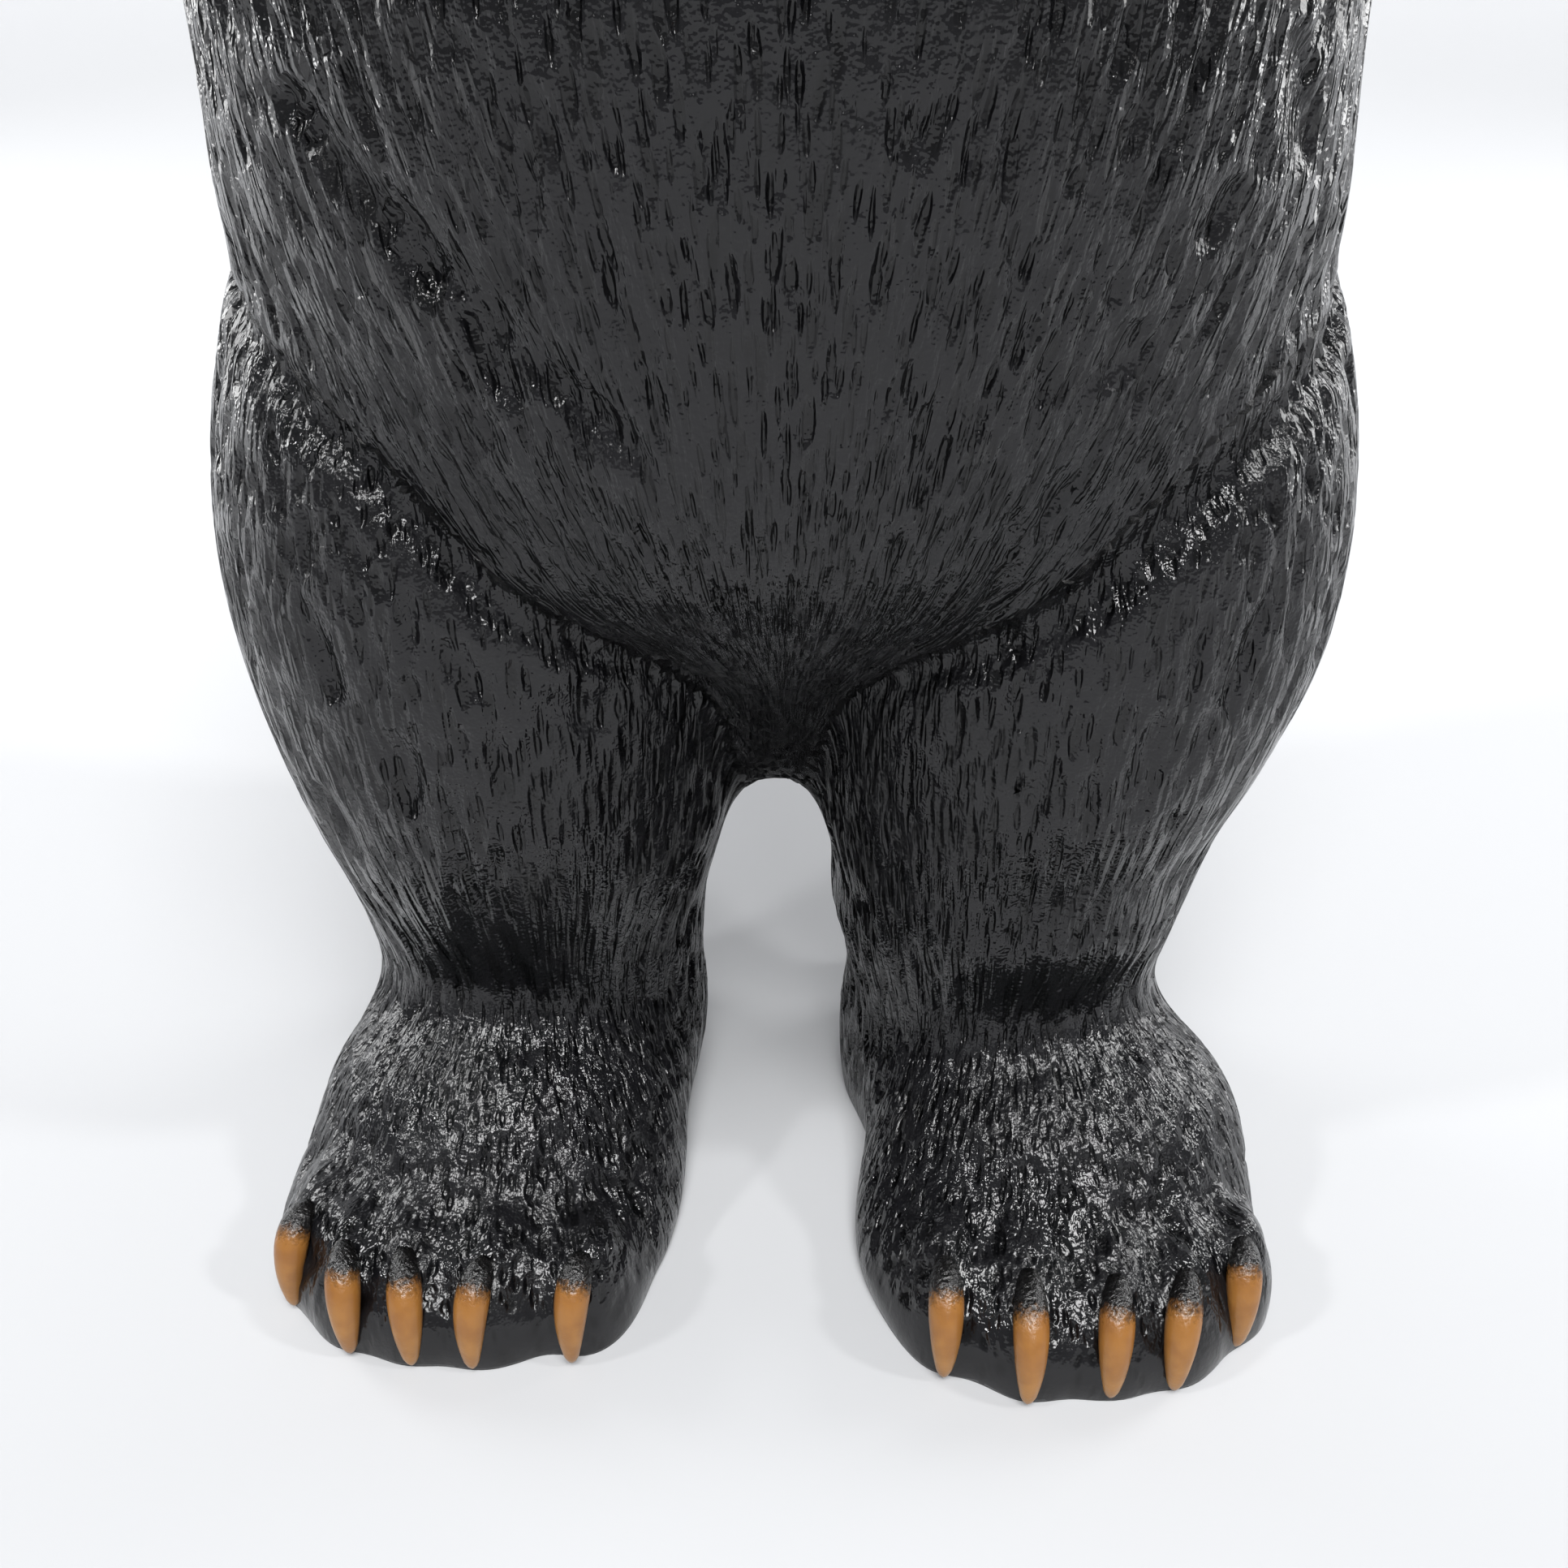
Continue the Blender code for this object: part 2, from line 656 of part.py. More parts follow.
def add_claws_and_eyes(piece):
    """Unite the crisp claws and the round eyes with the body."""
    shape = bmesh.new()
    spines = foot_claws(RIGHT_FOOT) + foot_claws(LEFT_FOOT) + paw_claws(RIGHT) + paw_claws(LEFT)
    for spine in spines:
        points, faces = claw_rings(spine)
        corners = [shape.verts.new(point) for point in points]
        for face in faces:
            shape.faces.new([corners[corner] for corner in face])
    for centre in eyeballs():
        ball = bmesh.ops.create_icosphere(shape, subdivisions=2, radius=EYE_RADIUS)
        bmesh.ops.translate(shape, verts=ball["verts"], vec=centre)
    bmesh.ops.recalc_face_normals(shape, faces=shape.faces[:])
    bmesh.ops.triangulate(shape, faces=shape.faces[:])
    mesh = bpy.data.meshes.new("claws_and_eyes")
    shape.to_mesh(mesh)
    shape.free()
    extra = bpy.data.objects.new("claws_and_eyes", mesh)
    extra.hide_render = True
    extra.display_type = "WIRE"
    bpy.context.collection.objects.link(extra)
    union = piece.modifiers.new("union", "BOOLEAN")
    union.operation = "UNION"
    union.solver = "EXACT"
    union.object = extra
    apply_modifiers(piece)
    bpy.data.objects.remove(extra, do_unlink=True)


def paint(name, colour, roughness, coat):
    """Glossy paint over cast resin."""
    material = bpy.data.materials.new(name)
    material.use_nodes = True
    shader = material.node_tree.nodes["Principled BSDF"]
    shader.inputs["Base Color"].default_value = (*colour, 1.0)
    shader.inputs["Roughness"].default_value = roughness
    shader.inputs["Metallic"].default_value = 0.0
    shader.inputs["Coat Weight"].default_value = coat
    return material


def main():
    """Build the statue and dress it."""
    for old in list(bpy.data.objects):
        bpy.data.objects.remove(old, do_unlink=True)
    piece = skin_of_clay()
    thin_out(piece)
    write_points(piece.data, settle(read_points(piece.data), rounds=2))
    stand_on_soles(piece)
    add_claws_and_eyes(piece)
    centre_over_origin(piece.data)
    piece.data.materials.append(paint("black_gloss_paint", (0.016, 0.016, 0.018), 0.38, 0.6))
    piece.data.shade_smooth()
    piece.data.set_sharp_from_angle(angle=math.radians(40.0))


main()
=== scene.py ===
"""Dressed scene of the standing resin bear, in the frame of its CAD model.

The bear is one casting of filled resin, sprayed gloss black, with claws picked
out in satin tan.  Its skin is sculpted here from the same named masses as the
CAD solid, at the fineness of the knife strokes in its fur, and replaces that
solid.  Strokes too fine for the mesh are bump in the paint.
"""

import logging
import math
from dataclasses import dataclass, field
from enum import Enum

import bmesh
import bpy
import numpy as np
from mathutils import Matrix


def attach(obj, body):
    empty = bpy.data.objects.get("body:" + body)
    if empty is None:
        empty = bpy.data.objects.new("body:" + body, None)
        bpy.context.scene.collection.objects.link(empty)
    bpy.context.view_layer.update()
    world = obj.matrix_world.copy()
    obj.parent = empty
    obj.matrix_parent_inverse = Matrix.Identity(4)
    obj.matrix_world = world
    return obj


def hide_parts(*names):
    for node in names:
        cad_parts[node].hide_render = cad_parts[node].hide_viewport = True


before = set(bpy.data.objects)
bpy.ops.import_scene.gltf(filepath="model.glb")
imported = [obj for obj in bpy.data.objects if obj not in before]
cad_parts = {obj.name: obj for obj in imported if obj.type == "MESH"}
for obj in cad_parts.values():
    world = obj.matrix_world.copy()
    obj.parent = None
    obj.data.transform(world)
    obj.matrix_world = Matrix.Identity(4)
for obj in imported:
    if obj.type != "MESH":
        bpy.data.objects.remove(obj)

LOG = logging.getLogger("bear")
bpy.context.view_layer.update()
NODE = "bear_statue"

# Driving dimensions of the figure, in metres
HEIGHT = 0.900
FLANK_HALF_WIDTH = 0.1695
HIP_HALF_WIDTH = 0.1900
CROTCH_HEIGHT = 0.159
ANKLE_HEIGHT = 0.078
SHOULDER_HEIGHT = 0.640
STRIDE = 0.014
FOOT_HALF_WIDTH = 0.0730
FOOT_THICKNESS = 0.042
TOE_RADIUS = 0.0130
TOE_HEIGHT = 0.0370
CLAW_WIDTH = 0.0120
CLAW_ROOT_HEIGHT = 0.0350
EYE_RADIUS = 0.0075
PAW_OUT = 0.094
PAW_FRONT = -0.214
FLANK_CARVING_FROM = 0.08

# The masses are laid out round the trunk's axis; the frame's origin lies under
# the middle of the whole figure, this far in front of it
FIGURE_MIDDLE = -0.0318

# Sizes of the carving, in millimetres
GOUGE_PITCH_MM = (11.0, 32.0)
GOUGE_LENGTH_MM = 24.0
GOUGE_HALF_WIDTH_MM = 1.9
GOUGE_DEPTH_MM = 1.8
STROKE_PITCH_MM = (5.0, 15.0)
STROKE_LENGTH_MM = 13.0
STROKE_HALF_WIDTH_MM = 1.2
STROKE_DEPTH_MM = 1.2

# Lie of the fur: the belly's strokes run towards one height between the legs,
# and each part's strokes have their true width at one distance from its axis
FUR_FOCUS_HEIGHT = 0.060
TORSO_REACH = 0.140
LEG_REACH = 0.085
ARM_REACH = 0.048
HEAD_REACH = 0.070

# Mesh sizes
CLAY_LOW = (-0.23, -0.25, -0.06)
CLAY_HIGH = (0.23, 0.19, HEIGHT + 0.02)
CLAY_CELL = 0.0090
SKIN_CELL = 0.0026
SKIN_TRIANGLES = 192000
SLOPE_STEP = 0.0004
CLAW_SIDES = 16
CLAW_RINGS = 18

LEFT = 1.0
RIGHT = -1.0

Point = tuple[float, float, float]
Spine = tuple[Point, Point, Point]


# Blending and curves

def smooth_curve(knots: np.ndarray, values: np.ndarray, at: np.ndarray) -> np.ndarray:
    """Curve through values at rising knots, level beyond both ends.

    Args:
        knots: Rising places along the curve.
        values: Value at each knot.
        at: Places to read.

    Returns:
        Value of the curve at each place.
    """
    knots = np.asarray(knots, dtype=float)
    values = np.asarray(values, dtype=float)
    slopes = np.gradient(values, knots)
    at = np.clip(at, knots[0], knots[-1])
    index = np.clip(np.searchsorted(knots, at) - 1, 0, len(knots) - 2)
    span = knots[index + 1] - knots[index]
    t = (at - knots[index]) / span
    rise = t * t * (3.0 - 2.0 * t)
    lead_in = t * (1.0 - t) ** 2 * span * slopes[index]
    lead_out = t * t * (t - 1.0) * span * slopes[index + 1]
    return values[index] * (1.0 - rise) + values[index + 1] * rise + lead_in + lead_out


def ramp(value: np.ndarray, low: float, high: float) -> np.ndarray:
    """Smooth step from 0 at low to 1 at high.

    Args:
        value: Values to step.
        low: Where the step starts.
        high: Where the step ends.

    Returns:
        Shares from 0 to 1.
    """
    t = np.clip((value - low) / (high - low), 0.0, 1.0)
    return t * t * (3.0 - 2.0 * t)


def smooth_min(first: np.ndarray, second: np.ndarray, blend: float) -> np.ndarray:
    """Union of two masses, filleted over the blend distance.

    Args:
        first: Signed distances to the first mass.
        second: Signed distances to the second mass.
        blend: Width of the fillet in metres.

    Returns:
        Signed distances to the union.
    """
    share = np.clip(0.5 + 0.5 * (second - first) / blend, 0.0, 1.0)
    return second + (first - second) * share - blend * share * (1.0 - share)


def smooth_max(first: np.ndarray, second: np.ndarray, blend: float) -> np.ndarray:
    """Overlap of two masses, rounded over the blend distance.

    Args:
        first: Signed distances to the first mass.
        second: Signed distances to the second mass.
        blend: Width of the rounding in metres.

    Returns:
        Signed distances to the overlap.
    """
    return -smooth_min(-first, -second, blend)


# Kinds of mass

@dataclass(frozen=True)
class Ball:
    """Ellipsoid mass, tilted about X and then turned about Z, in degrees.

    A power above 2 makes it boxier.
    """

    centre: Point
    radii: Point
    blend: float
    tilt: float = 0.0
    turn: float = 0.0
    power: float = 2.0

    def distance(self, points: np.ndarray) -> np.ndarray:
        """Signed distance to the mass.

        Args:
            points: Places, one per row, in metres.

        Returns:
            Distances in metres, below zero inside.
        """
        local = points - np.array(self.centre)
        turn = math.radians(self.turn)
        tilt = math.radians(self.tilt)
        x = local[:, 0] * math.cos(turn) + local[:, 1] * math.sin(turn)
        y = local[:, 1] * math.cos(turn) - local[:, 0] * math.sin(turn)
        z = local[:, 2] * math.cos(tilt) - y * math.sin(tilt)
        y = y * math.cos(tilt) + local[:, 2] * math.sin(tilt)
        radii = np.array(self.radii)
        scaled = np.maximum(np.abs(np.stack((x, y, z), axis=1) / radii), 1e-6)
        reach = np.sum(scaled ** self.power, axis=1) ** (1.0 / self.power)
        slope = np.linalg.norm(scaled ** (self.power - 1.0) / radii, axis=1)
        slope /= reach ** (self.power - 1.0)
        return (reach - 1.0) / slope


@dataclass(frozen=True)
class Limb:
    """Round rod through knots of (x, y, z, radius)."""

    knots: tuple[tuple[float, float, float, float], ...]
    blend: float
    bend: float = 0.004

    def distance(self, points: np.ndarray) -> np.ndarray:
        """Signed distance to the mass.

        Args:
            points: Places, one per row, in metres.

        Returns:
            Distances in metres, below zero inside.
        """
        result = None
        for start, end in zip(self.knots[:-1], self.knots[1:]):
            origin = np.array(start[:3])
            axis = np.array(end[:3]) - origin
            local = points - origin
            along = np.clip(local @ axis / (axis @ axis), 0.0, 1.0)
            gap = np.linalg.norm(local - along[:, None] * axis, axis=1)
            rod = gap - (start[3] + (end[3] - start[3]) * along)
            result = rod if result is None else smooth_min(result, rod, self.bend)
        return result


@dataclass(frozen=True)
class Column:
    """Upright mass with an oval section: rows of (z, right, left, front, back)."""

    rows: tuple[tuple[float, float, float, float, float], ...]
    middle: float
    blend: float
    cap: float

    def distance(self, points: np.ndarray) -> np.ndarray:
        """Signed distance to the mass.

        Args:
            points: Places, one per row, in metres.

        Returns:
            Distances in metres, below zero inside.
        """
        heights, right, left, front, back = np.array(self.rows).T
        z = points[:, 2]
        low_x = smooth_curve(heights, right, z)
        high_x = smooth_curve(heights, left, z)
        half = 0.5 * (high_x - low_x)
        x = points[:, 0] - 0.5 * (high_x + low_x)
        y = points[:, 1] - self.middle
        reach_front = self.middle - smooth_curve(heights, front, z)
        reach_back = smooth_curve(heights, back, z) - self.middle
        depth = np.where(y < 0.0, reach_front, reach_back)
        ratio = np.maximum(np.sqrt((x / half) ** 2 + (y / depth) ** 2), 1e-6)
        wall = np.hypot(x, y) * (1.0 - 1.0 / ratio)
        ends = np.abs(z - 0.5 * (heights[0] + heights[-1])) - 0.5 * (heights[-1] - heights[0])
        return smooth_max(wall, ends, self.cap)


Mass = Ball | Limb | Column


# The masses of the figure

def torso() -> Column:
    """Pear-shaped trunk: a belly that overhangs the thighs, up to the neck.

    Returns:
        The trunk.
    """
    flank = FLANK_HALF_WIDTH
    rows = (
        (CROTCH_HEIGHT - 0.012, -0.035, 0.035, -0.022, 0.045),
        (CROTCH_HEIGHT + 0.015, -0.065, 0.065, -0.036, 0.072),
        (0.206, -0.095, 0.095, -0.058, 0.096),
        (0.234, -0.120, 0.120, -0.089, 0.112),
        (0.264, -0.143, 0.143, -0.124, 0.121),
        (0.295, -0.157, 0.157, -0.139, 0.127),
        (0.340, -flank, flank, -0.147, 0.130),
        (0.400, -flank - 0.002, flank - 0.001, -0.154, 0.130),
        (0.455, -flank, flank - 0.005, -0.151, 0.126),
        (0.530, -0.158, 0.156, -0.137, 0.121),
        (0.600, -0.146, 0.146, -0.119, 0.117),
        (0.660, -0.126, 0.126, -0.103, 0.110),
        (0.715, -0.098, 0.098, -0.085, 0.092),
        (0.750, -0.070, 0.070, -0.070, 0.072),
    )
    return Column(rows, middle=0.0, blend=0.020, cap=0.030)


def right_leg() -> Column:
    """Right hind leg, from the sole to the top of the thigh.

    Returns:
        The leg.
    """
    hip = -HIP_HALF_WIDTH
    rows = (
        (-0.020, -0.156, -0.046, -0.052, 0.066),
        (0.030, -0.160, -0.034, -0.056, 0.064),
        (ANKLE_HEIGHT, -0.1600, -0.0320, -0.062, 0.060),
        (0.100, -0.1635, -0.0300, -0.068, 0.062),
        (0.120, -0.1675, -0.0250, -0.078, 0.067),
        (0.150, -0.1755, -0.0170, -0.092, 0.078),
        (0.183, -0.1830, -0.0140, -0.102, 0.089),
        (0.222, hip + 0.001, -0.0110, -0.109, 0.100),
        (0.250, hip, -0.0130, -0.112, 0.106),
        (0.290, hip + 0.004, -0.0220, -0.106, 0.106),
        (0.325, hip + 0.013, -0.0400, -0.090, 0.094),
        (0.352, hip + 0.024, -0.0700, -0.060, 0.070),
    )
    return Column(rows, middle=0.0, blend=0.016, cap=0.030)


def left_leg() -> Column:
    """Left hind leg, a short stride before the right one.

    Returns:
        The leg.
    """
    hip = HIP_HALF_WIDTH - 0.002
    rows = (
        (-0.020, 0.030, 0.138, -0.052 - STRIDE, 0.066 - STRIDE),
        (0.030, 0.029, 0.143, -0.056 - STRIDE, 0.064 - STRIDE),
        (ANKLE_HEIGHT, 0.0235, 0.1450, -0.062 - STRIDE, 0.060 - STRIDE),
        (0.100, 0.0185, 0.1500, -0.068 - STRIDE, 0.062 - STRIDE),
        (0.120, 0.0180, 0.1530, -0.078 - STRIDE, 0.067 - STRIDE),
        (0.150, 0.0115, 0.1615, -0.096, 0.074),
        (0.183, 0.0105, 0.1740, -0.106, 0.086),
        (0.222, 0.0105, hip - 0.002, -0.111, 0.099),
        (0.250, 0.0130, hip, -0.113, 0.106),
        (0.290, 0.0220, hip - 0.003, -0.107, 0.106),
        (0.325, 0.0400, hip - 0.012, -0.090, 0.094),
        (0.352, 0.0700, hip - 0.023, -0.060, 0.070),
    )
    return Column(rows, middle=-0.5 * STRIDE, blend=0.016, cap=0.030)


def rump() -> list[Mass]:
    """Haunches, buttocks and the stub of a tail.

    Returns:
        The masses in the order in which they are added.
    """
    masses = []
    for side in (RIGHT, LEFT):
        masses.append(Ball((side * 0.096, 0.042, 0.310), (0.074, 0.076, 0.110), blend=0.030))
        masses.append(Ball((side * 0.075, 0.056, 0.238), (0.090, 0.080, 0.088), blend=0.030))
    masses.append(Limb(((0.0, 0.106, 0.290, 0.030), (0.0, 0.139, 0.262, 0.021)), blend=0.018))
    return masses


@dataclass(frozen=True)
class FootPlan:
    """Where one hind foot stands, seen from above.

    Each claw is given by the plan position of its root, on top of the toe, and
    of its tip, at the ground.
    """

    heel: tuple[float, float]
    instep: tuple[float, float]
    ball: tuple[float, float]
    splay: float
    claws: tuple[tuple[tuple[float, float], tuple[float, float]], ...]


RIGHT_FOOT = FootPlan(
    heel=(-0.097, 0.026),
    instep=(-0.1085, -0.048),
    ball=(-0.1135, -0.084),
    splay=-12.0,
    claws=(
        ((-0.1690, -0.1150), (-0.1730, -0.1270)),
        ((-0.1505, -0.1345), (-0.1490, -0.1480)),
        ((-0.1290, -0.1380), (-0.1270, -0.1530)),
        ((-0.1020, -0.1417), (-0.1055, -0.1545)),
        ((-0.0690, -0.1400), (-0.0720, -0.1520)),
    ),
)
LEFT_FOOT = FootPlan(
    heel=(0.084, 0.026 - STRIDE),
    instep=(0.1040, -0.048 - STRIDE),
    ball=(0.0995, -0.084 - STRIDE),
    splay=2.0,
    claws=(
        ((0.0545, -0.1417), (0.0540, -0.1580)),
        ((0.0820, -0.1475), (0.0810, -0.1690)),
        ((0.1110, -0.1500), (0.1090, -0.1665)),
        ((0.1350, -0.1475), (0.1310, -0.1635)),
        ((0.1575, -0.1330), (0.1560, -0.1450)),
    ),
)


def foot(plan: FootPlan) -> list[Mass]:
    """Heel, instep and pad of one hind foot, with a toe behind every claw.

    Args:
        plan: Where the foot stands.

    Returns:
        The masses of the foot.
    """
    masses = [
        Ball((*plan.heel, 0.022), (0.056, 0.052, 0.050), blend=0.024, power=2.4),
        Ball((*plan.instep, 0.020), (0.0705, 0.070, 0.060), blend=0.020, turn=plan.splay,
             power=2.0),
        Ball((*plan.ball, 0.006), (FOOT_HALF_WIDTH, 0.070, FOOT_THICKNESS - 0.006),
             blend=0.016, turn=plan.splay, power=2.1),
    ]
    for root, tip in plan.claws:
        run = np.array(tip) - np.array(root)
        length = np.linalg.norm(run)
        back = 1.85 * length
        middle = np.array(tip) - back * run / length
        masses.append(Ball((*middle, 0.002), (TOE_RADIUS, back - 0.0035, TOE_HEIGHT), blend=0.012,
                           turn=math.degrees(math.atan2(run[0], -run[1]))))
    return masses


def foot_claws(plan: FootPlan) -> list[Spine]:
    """Spines of one foot's claws: root on top of the toe, knuckle and tip.

    Args:
        plan: Where the foot stands.

    Returns:
        One spine per claw.
    """
    spines = []
    for root, tip in plan.claws:
        run = np.array(tip) - np.array(root)
        proud = 0.0025 * run / np.linalg.norm(run)
        spines.append(((*(root - proud), CLAW_ROOT_HEIGHT), (*(tip + proud), 0.0335),
                       (*(tip + 0.6 * proud), 0.0020)))
    return spines


def arm_joints(side: float) -> tuple[Point, Point, Point]:
    """Joints of one foreleg.

    Args:
        side: LEFT or RIGHT.

    Returns:
        Shoulder, elbow and wrist.
    """
    return ((side * 0.112, 0.006, SHOULDER_HEIGHT), (side * 0.158, -0.018, 0.512),
            (side * 0.099, -0.152, 0.545))


def arm(side: float) -> list[Mass]:
    """One foreleg: shoulder, upper arm, forearm resting on the belly, and the paw.

    Args:
        side: LEFT or RIGHT.

    Returns:
        The masses of the arm.
    """
    shoulder, elbow, wrist = arm_joints(side)
    return [
        Ball(shoulder, (0.066, 0.078, 0.092), blend=0.040, tilt=-10.0),
        Limb(((*shoulder, 0.062), (*elbow, 0.049)), blend=0.024),
        Limb(((*elbow, 0.048), (*wrist, 0.040)), blend=0.022),
        Ball((side * PAW_OUT, PAW_FRONT + 0.030, 0.530), (0.042, 0.034, 0.044), blend=0.016,
             tilt=-22.0, turn=side * -12.0),
    ]


def paw_claws(side: float) -> list[Spine]:
    """Spines of one forepaw's claws, hanging over its front edge.

    Args:
        side: LEFT or RIGHT.

    Returns:
        One spine per claw.
    """
    spines = []
    for place in (-2, -1, 0, 1, 2):
        x = side * PAW_OUT + 0.0145 * place
        y = PAW_FRONT + 0.0022 * place * place
        spines.append(((x, y + 0.007, 0.516), (x, y - 0.009, 0.513), (x, y - 0.004, 0.482)))
    return spines


def head() -> list[Mass]:
    """Neck, skull, muzzle, jaw, cheeks, brows, nose and ears.

    Returns:
        The masses of neck and head.
    """
    masses = [
        Ball((0.0, 0.046, 0.668), (0.118, 0.072, 0.082), blend=0.050),
        Limb(((0.0, 0.018, 0.670, 0.096), (0.0, -0.012, 0.776, 0.078)), blend=0.045),
        Ball((0.0, -0.030, 0.810), (0.079, 0.083, 0.071), blend=0.022),
        Limb(((0.0, -0.088, 0.797, 0.049), (0.0, -0.146, 0.787, 0.0345)), blend=0.020),
        Limb(((0.0, -0.075, 0.764, 0.036), (0.0, -0.140, 0.766, 0.0265)), blend=0.012),
        Ball((0.0, -0.178, 0.802), (0.0190, 0.0105, 0.0125), blend=0.004, tilt=-20.0),
    ]
    for side in (RIGHT, LEFT):
        masses.append(Ball((side * 0.055, -0.036, 0.784), (0.042, 0.056, 0.050), blend=0.022))
        masses.append(Ball((side * 0.032, -0.094, 0.834), (0.021, 0.018, 0.010), blend=0.014))
        masses.append(Ball((side * 0.063, -0.006, 0.869), (0.030, 0.014, 0.031), blend=0.010,
                           turn=side * 14.0))
    return masses


def face_carving() -> list[Mass]:
    """Hollows of the face: ear cups, eye sockets, nostrils and the mouth.

    Returns:
        The hollows, each with the rounding of its rim as its blend.
    """
    hollows = [Limb(((0.0, -0.181, 0.790, 0.0015), (0.0, -0.176, 0.774, 0.0015)), blend=0.002)]
    for side in (RIGHT, LEFT):
        hollows.append(Ball((side * 0.065, -0.020, 0.871), (0.017, 0.009, 0.018), blend=0.006,
                            turn=side * 14.0))
        hollows.append(Ball((side * 0.041, -0.107, 0.819), (0.0110, 0.0090, 0.0085), blend=0.006))
        hollows.append(Ball((side * 0.0090, -0.188, 0.801), (0.0045, 0.0055, 0.0032), blend=0.002))
        hollows.append(Limb(((0.0, -0.179, 0.773, 0.0028), (side * 0.022, -0.164, 0.7715, 0.0030),
                             (side * 0.041, -0.118, 0.7700, 0.0030),
                             (side * 0.046, -0.096, 0.7640, 0.0020)), blend=0.003))
    return hollows


def eyeballs() -> list[Point]:
    """Centres of both eyes, half sunk into their sockets.

    Returns:
        The two centres.
    """
    return [(side * 0.0395, -0.1010, 0.8190) for side in (RIGHT, LEFT)]


# Carving of folds and locks

class Face(Enum):
    """Side of the statue from which a furrow is laid out."""

    FRONT = "front"
    BACK = "back"
    RIGHT = "right"
    LEFT = "left"


@dataclass(frozen=True)
class Groove:
    """Furrow carved along a path of (across, height) seen from one side.

    Depth and width fade to nothing at both ends, as a gouge does.
    """

    face: Face
    path: tuple[tuple[float, float], ...]
    depth: float
    width: float

    def carve(self, points: np.ndarray, value: np.ndarray) -> None:
        """Add the furrow's depth to the signed distances of the points.

        Args:
            points: Places, one per row.
            value: Their signed distances, changed in place.
        """
        x, y, z = points.T
        across, outward = {
            Face.FRONT: (x, -y),
            Face.BACK: (x, y),
            Face.RIGHT: (y, -x - FLANK_CARVING_FROM),
            Face.LEFT: (y, x - FLANK_CARVING_FROM),
        }[self.face]
        path = np.array(self.path)
        margin = 3.0 * self.width
        low = path.min(axis=0) - margin
        high = path.max(axis=0) + margin
        near = (across > low[0]) & (across < high[0]) & (z > low[1])
        near &= (z < high[1]) & (outward > 0.0)
        if not near.any():
            return
        spot = np.stack((across[near], z[near]), axis=1)
        runs = np.linalg.norm(np.diff(path, axis=0), axis=1)
        total = runs.sum()
        nearest = np.full(len(spot), np.inf)
        place = np.zeros(len(spot))
        passed = 0.0
        for start, end, run in zip(path[:-1], path[1:], runs):
            axis = (end - start) / run
            along = np.clip((spot - start) @ axis, 0.0, run)
            gap = np.linalg.norm(spot - start - along[:, None] * axis, axis=1)
            closer = gap < nearest
            nearest[closer] = gap[closer]
            place[closer] = (passed + along[closer]) / total
            passed += run
        taper = np.sqrt(np.clip(4.0 * place * (1.0 - place), 0.0, 1.0))
        fade = ramp(outward[near], 0.0, 0.025)
        width = self.width * (0.35 + 0.65 * taper)
        value[near] += self.depth * taper * fade * np.exp(-(nearest / width) ** 2)


def belly_folds() -> list[Groove]:
    """The deep V where the belly hangs over the thighs, and the folds inside it.

    Returns:
        The three folds.
    """
    right_fold = ((-0.180, 0.343), (-0.150, 0.326), (-0.110, 0.297), (-0.086, 0.268),
                  (-0.064, 0.250), (-0.038, 0.230), (-0.012, 0.203))
    left_fold = ((0.180, 0.352), (0.158, 0.322), (0.130, 0.303), (0.100, 0.278),
                 (0.073, 0.252), (0.042, 0.231), (0.012, 0.203))
    inner_fold = ((-0.125, 0.400), (-0.095, 0.372), (-0.066, 0.345), (-0.040, 0.322))
    return [
        Groove(Face.FRONT, right_fold, 0.0060, 0.0070),
        Groove(Face.FRONT, left_fold, 0.0060, 0.0070),
        Groove(Face.FRONT, inner_fold, 0.0040, 0.0065),
    ]


def belly_and_thigh_gouges() -> list[Groove]:
    """Single long gouges on belly and thighs: where each starts and ends.

    Returns:
        The gouges.
    """
    strokes = (
        ((-0.122, 0.402), (-0.112, 0.386)), ((-0.096, 0.374), (-0.084, 0.355)),
        ((-0.079, 0.354), (-0.068, 0.327)), ((-0.055, 0.335), (-0.034, 0.313)),
        ((0.124, 0.414), (0.134, 0.378)), ((0.112, 0.380), (0.104, 0.362)),
        ((0.090, 0.348), (0.083, 0.330)), ((0.038, 0.334), (0.034, 0.302)),
        ((0.075, 0.310), (0.070, 0.286)), ((0.062, 0.300), (0.055, 0.246)),
        ((-0.100, 0.254), (-0.086, 0.232)), ((-0.068, 0.232), (-0.056, 0.212)),
        ((-0.140, 0.262), (-0.132, 0.225)), ((-0.118, 0.222), (-0.114, 0.186)),
        ((0.140, 0.262), (0.132, 0.222)), ((0.112, 0.230), (0.108, 0.190)),
        ((0.078, 0.214), (0.076, 0.176)), ((-0.150, 0.190), (-0.142, 0.158)),
    )
    return [Groove(Face.FRONT, stroke, 0.0035, 0.0045) for stroke in strokes]


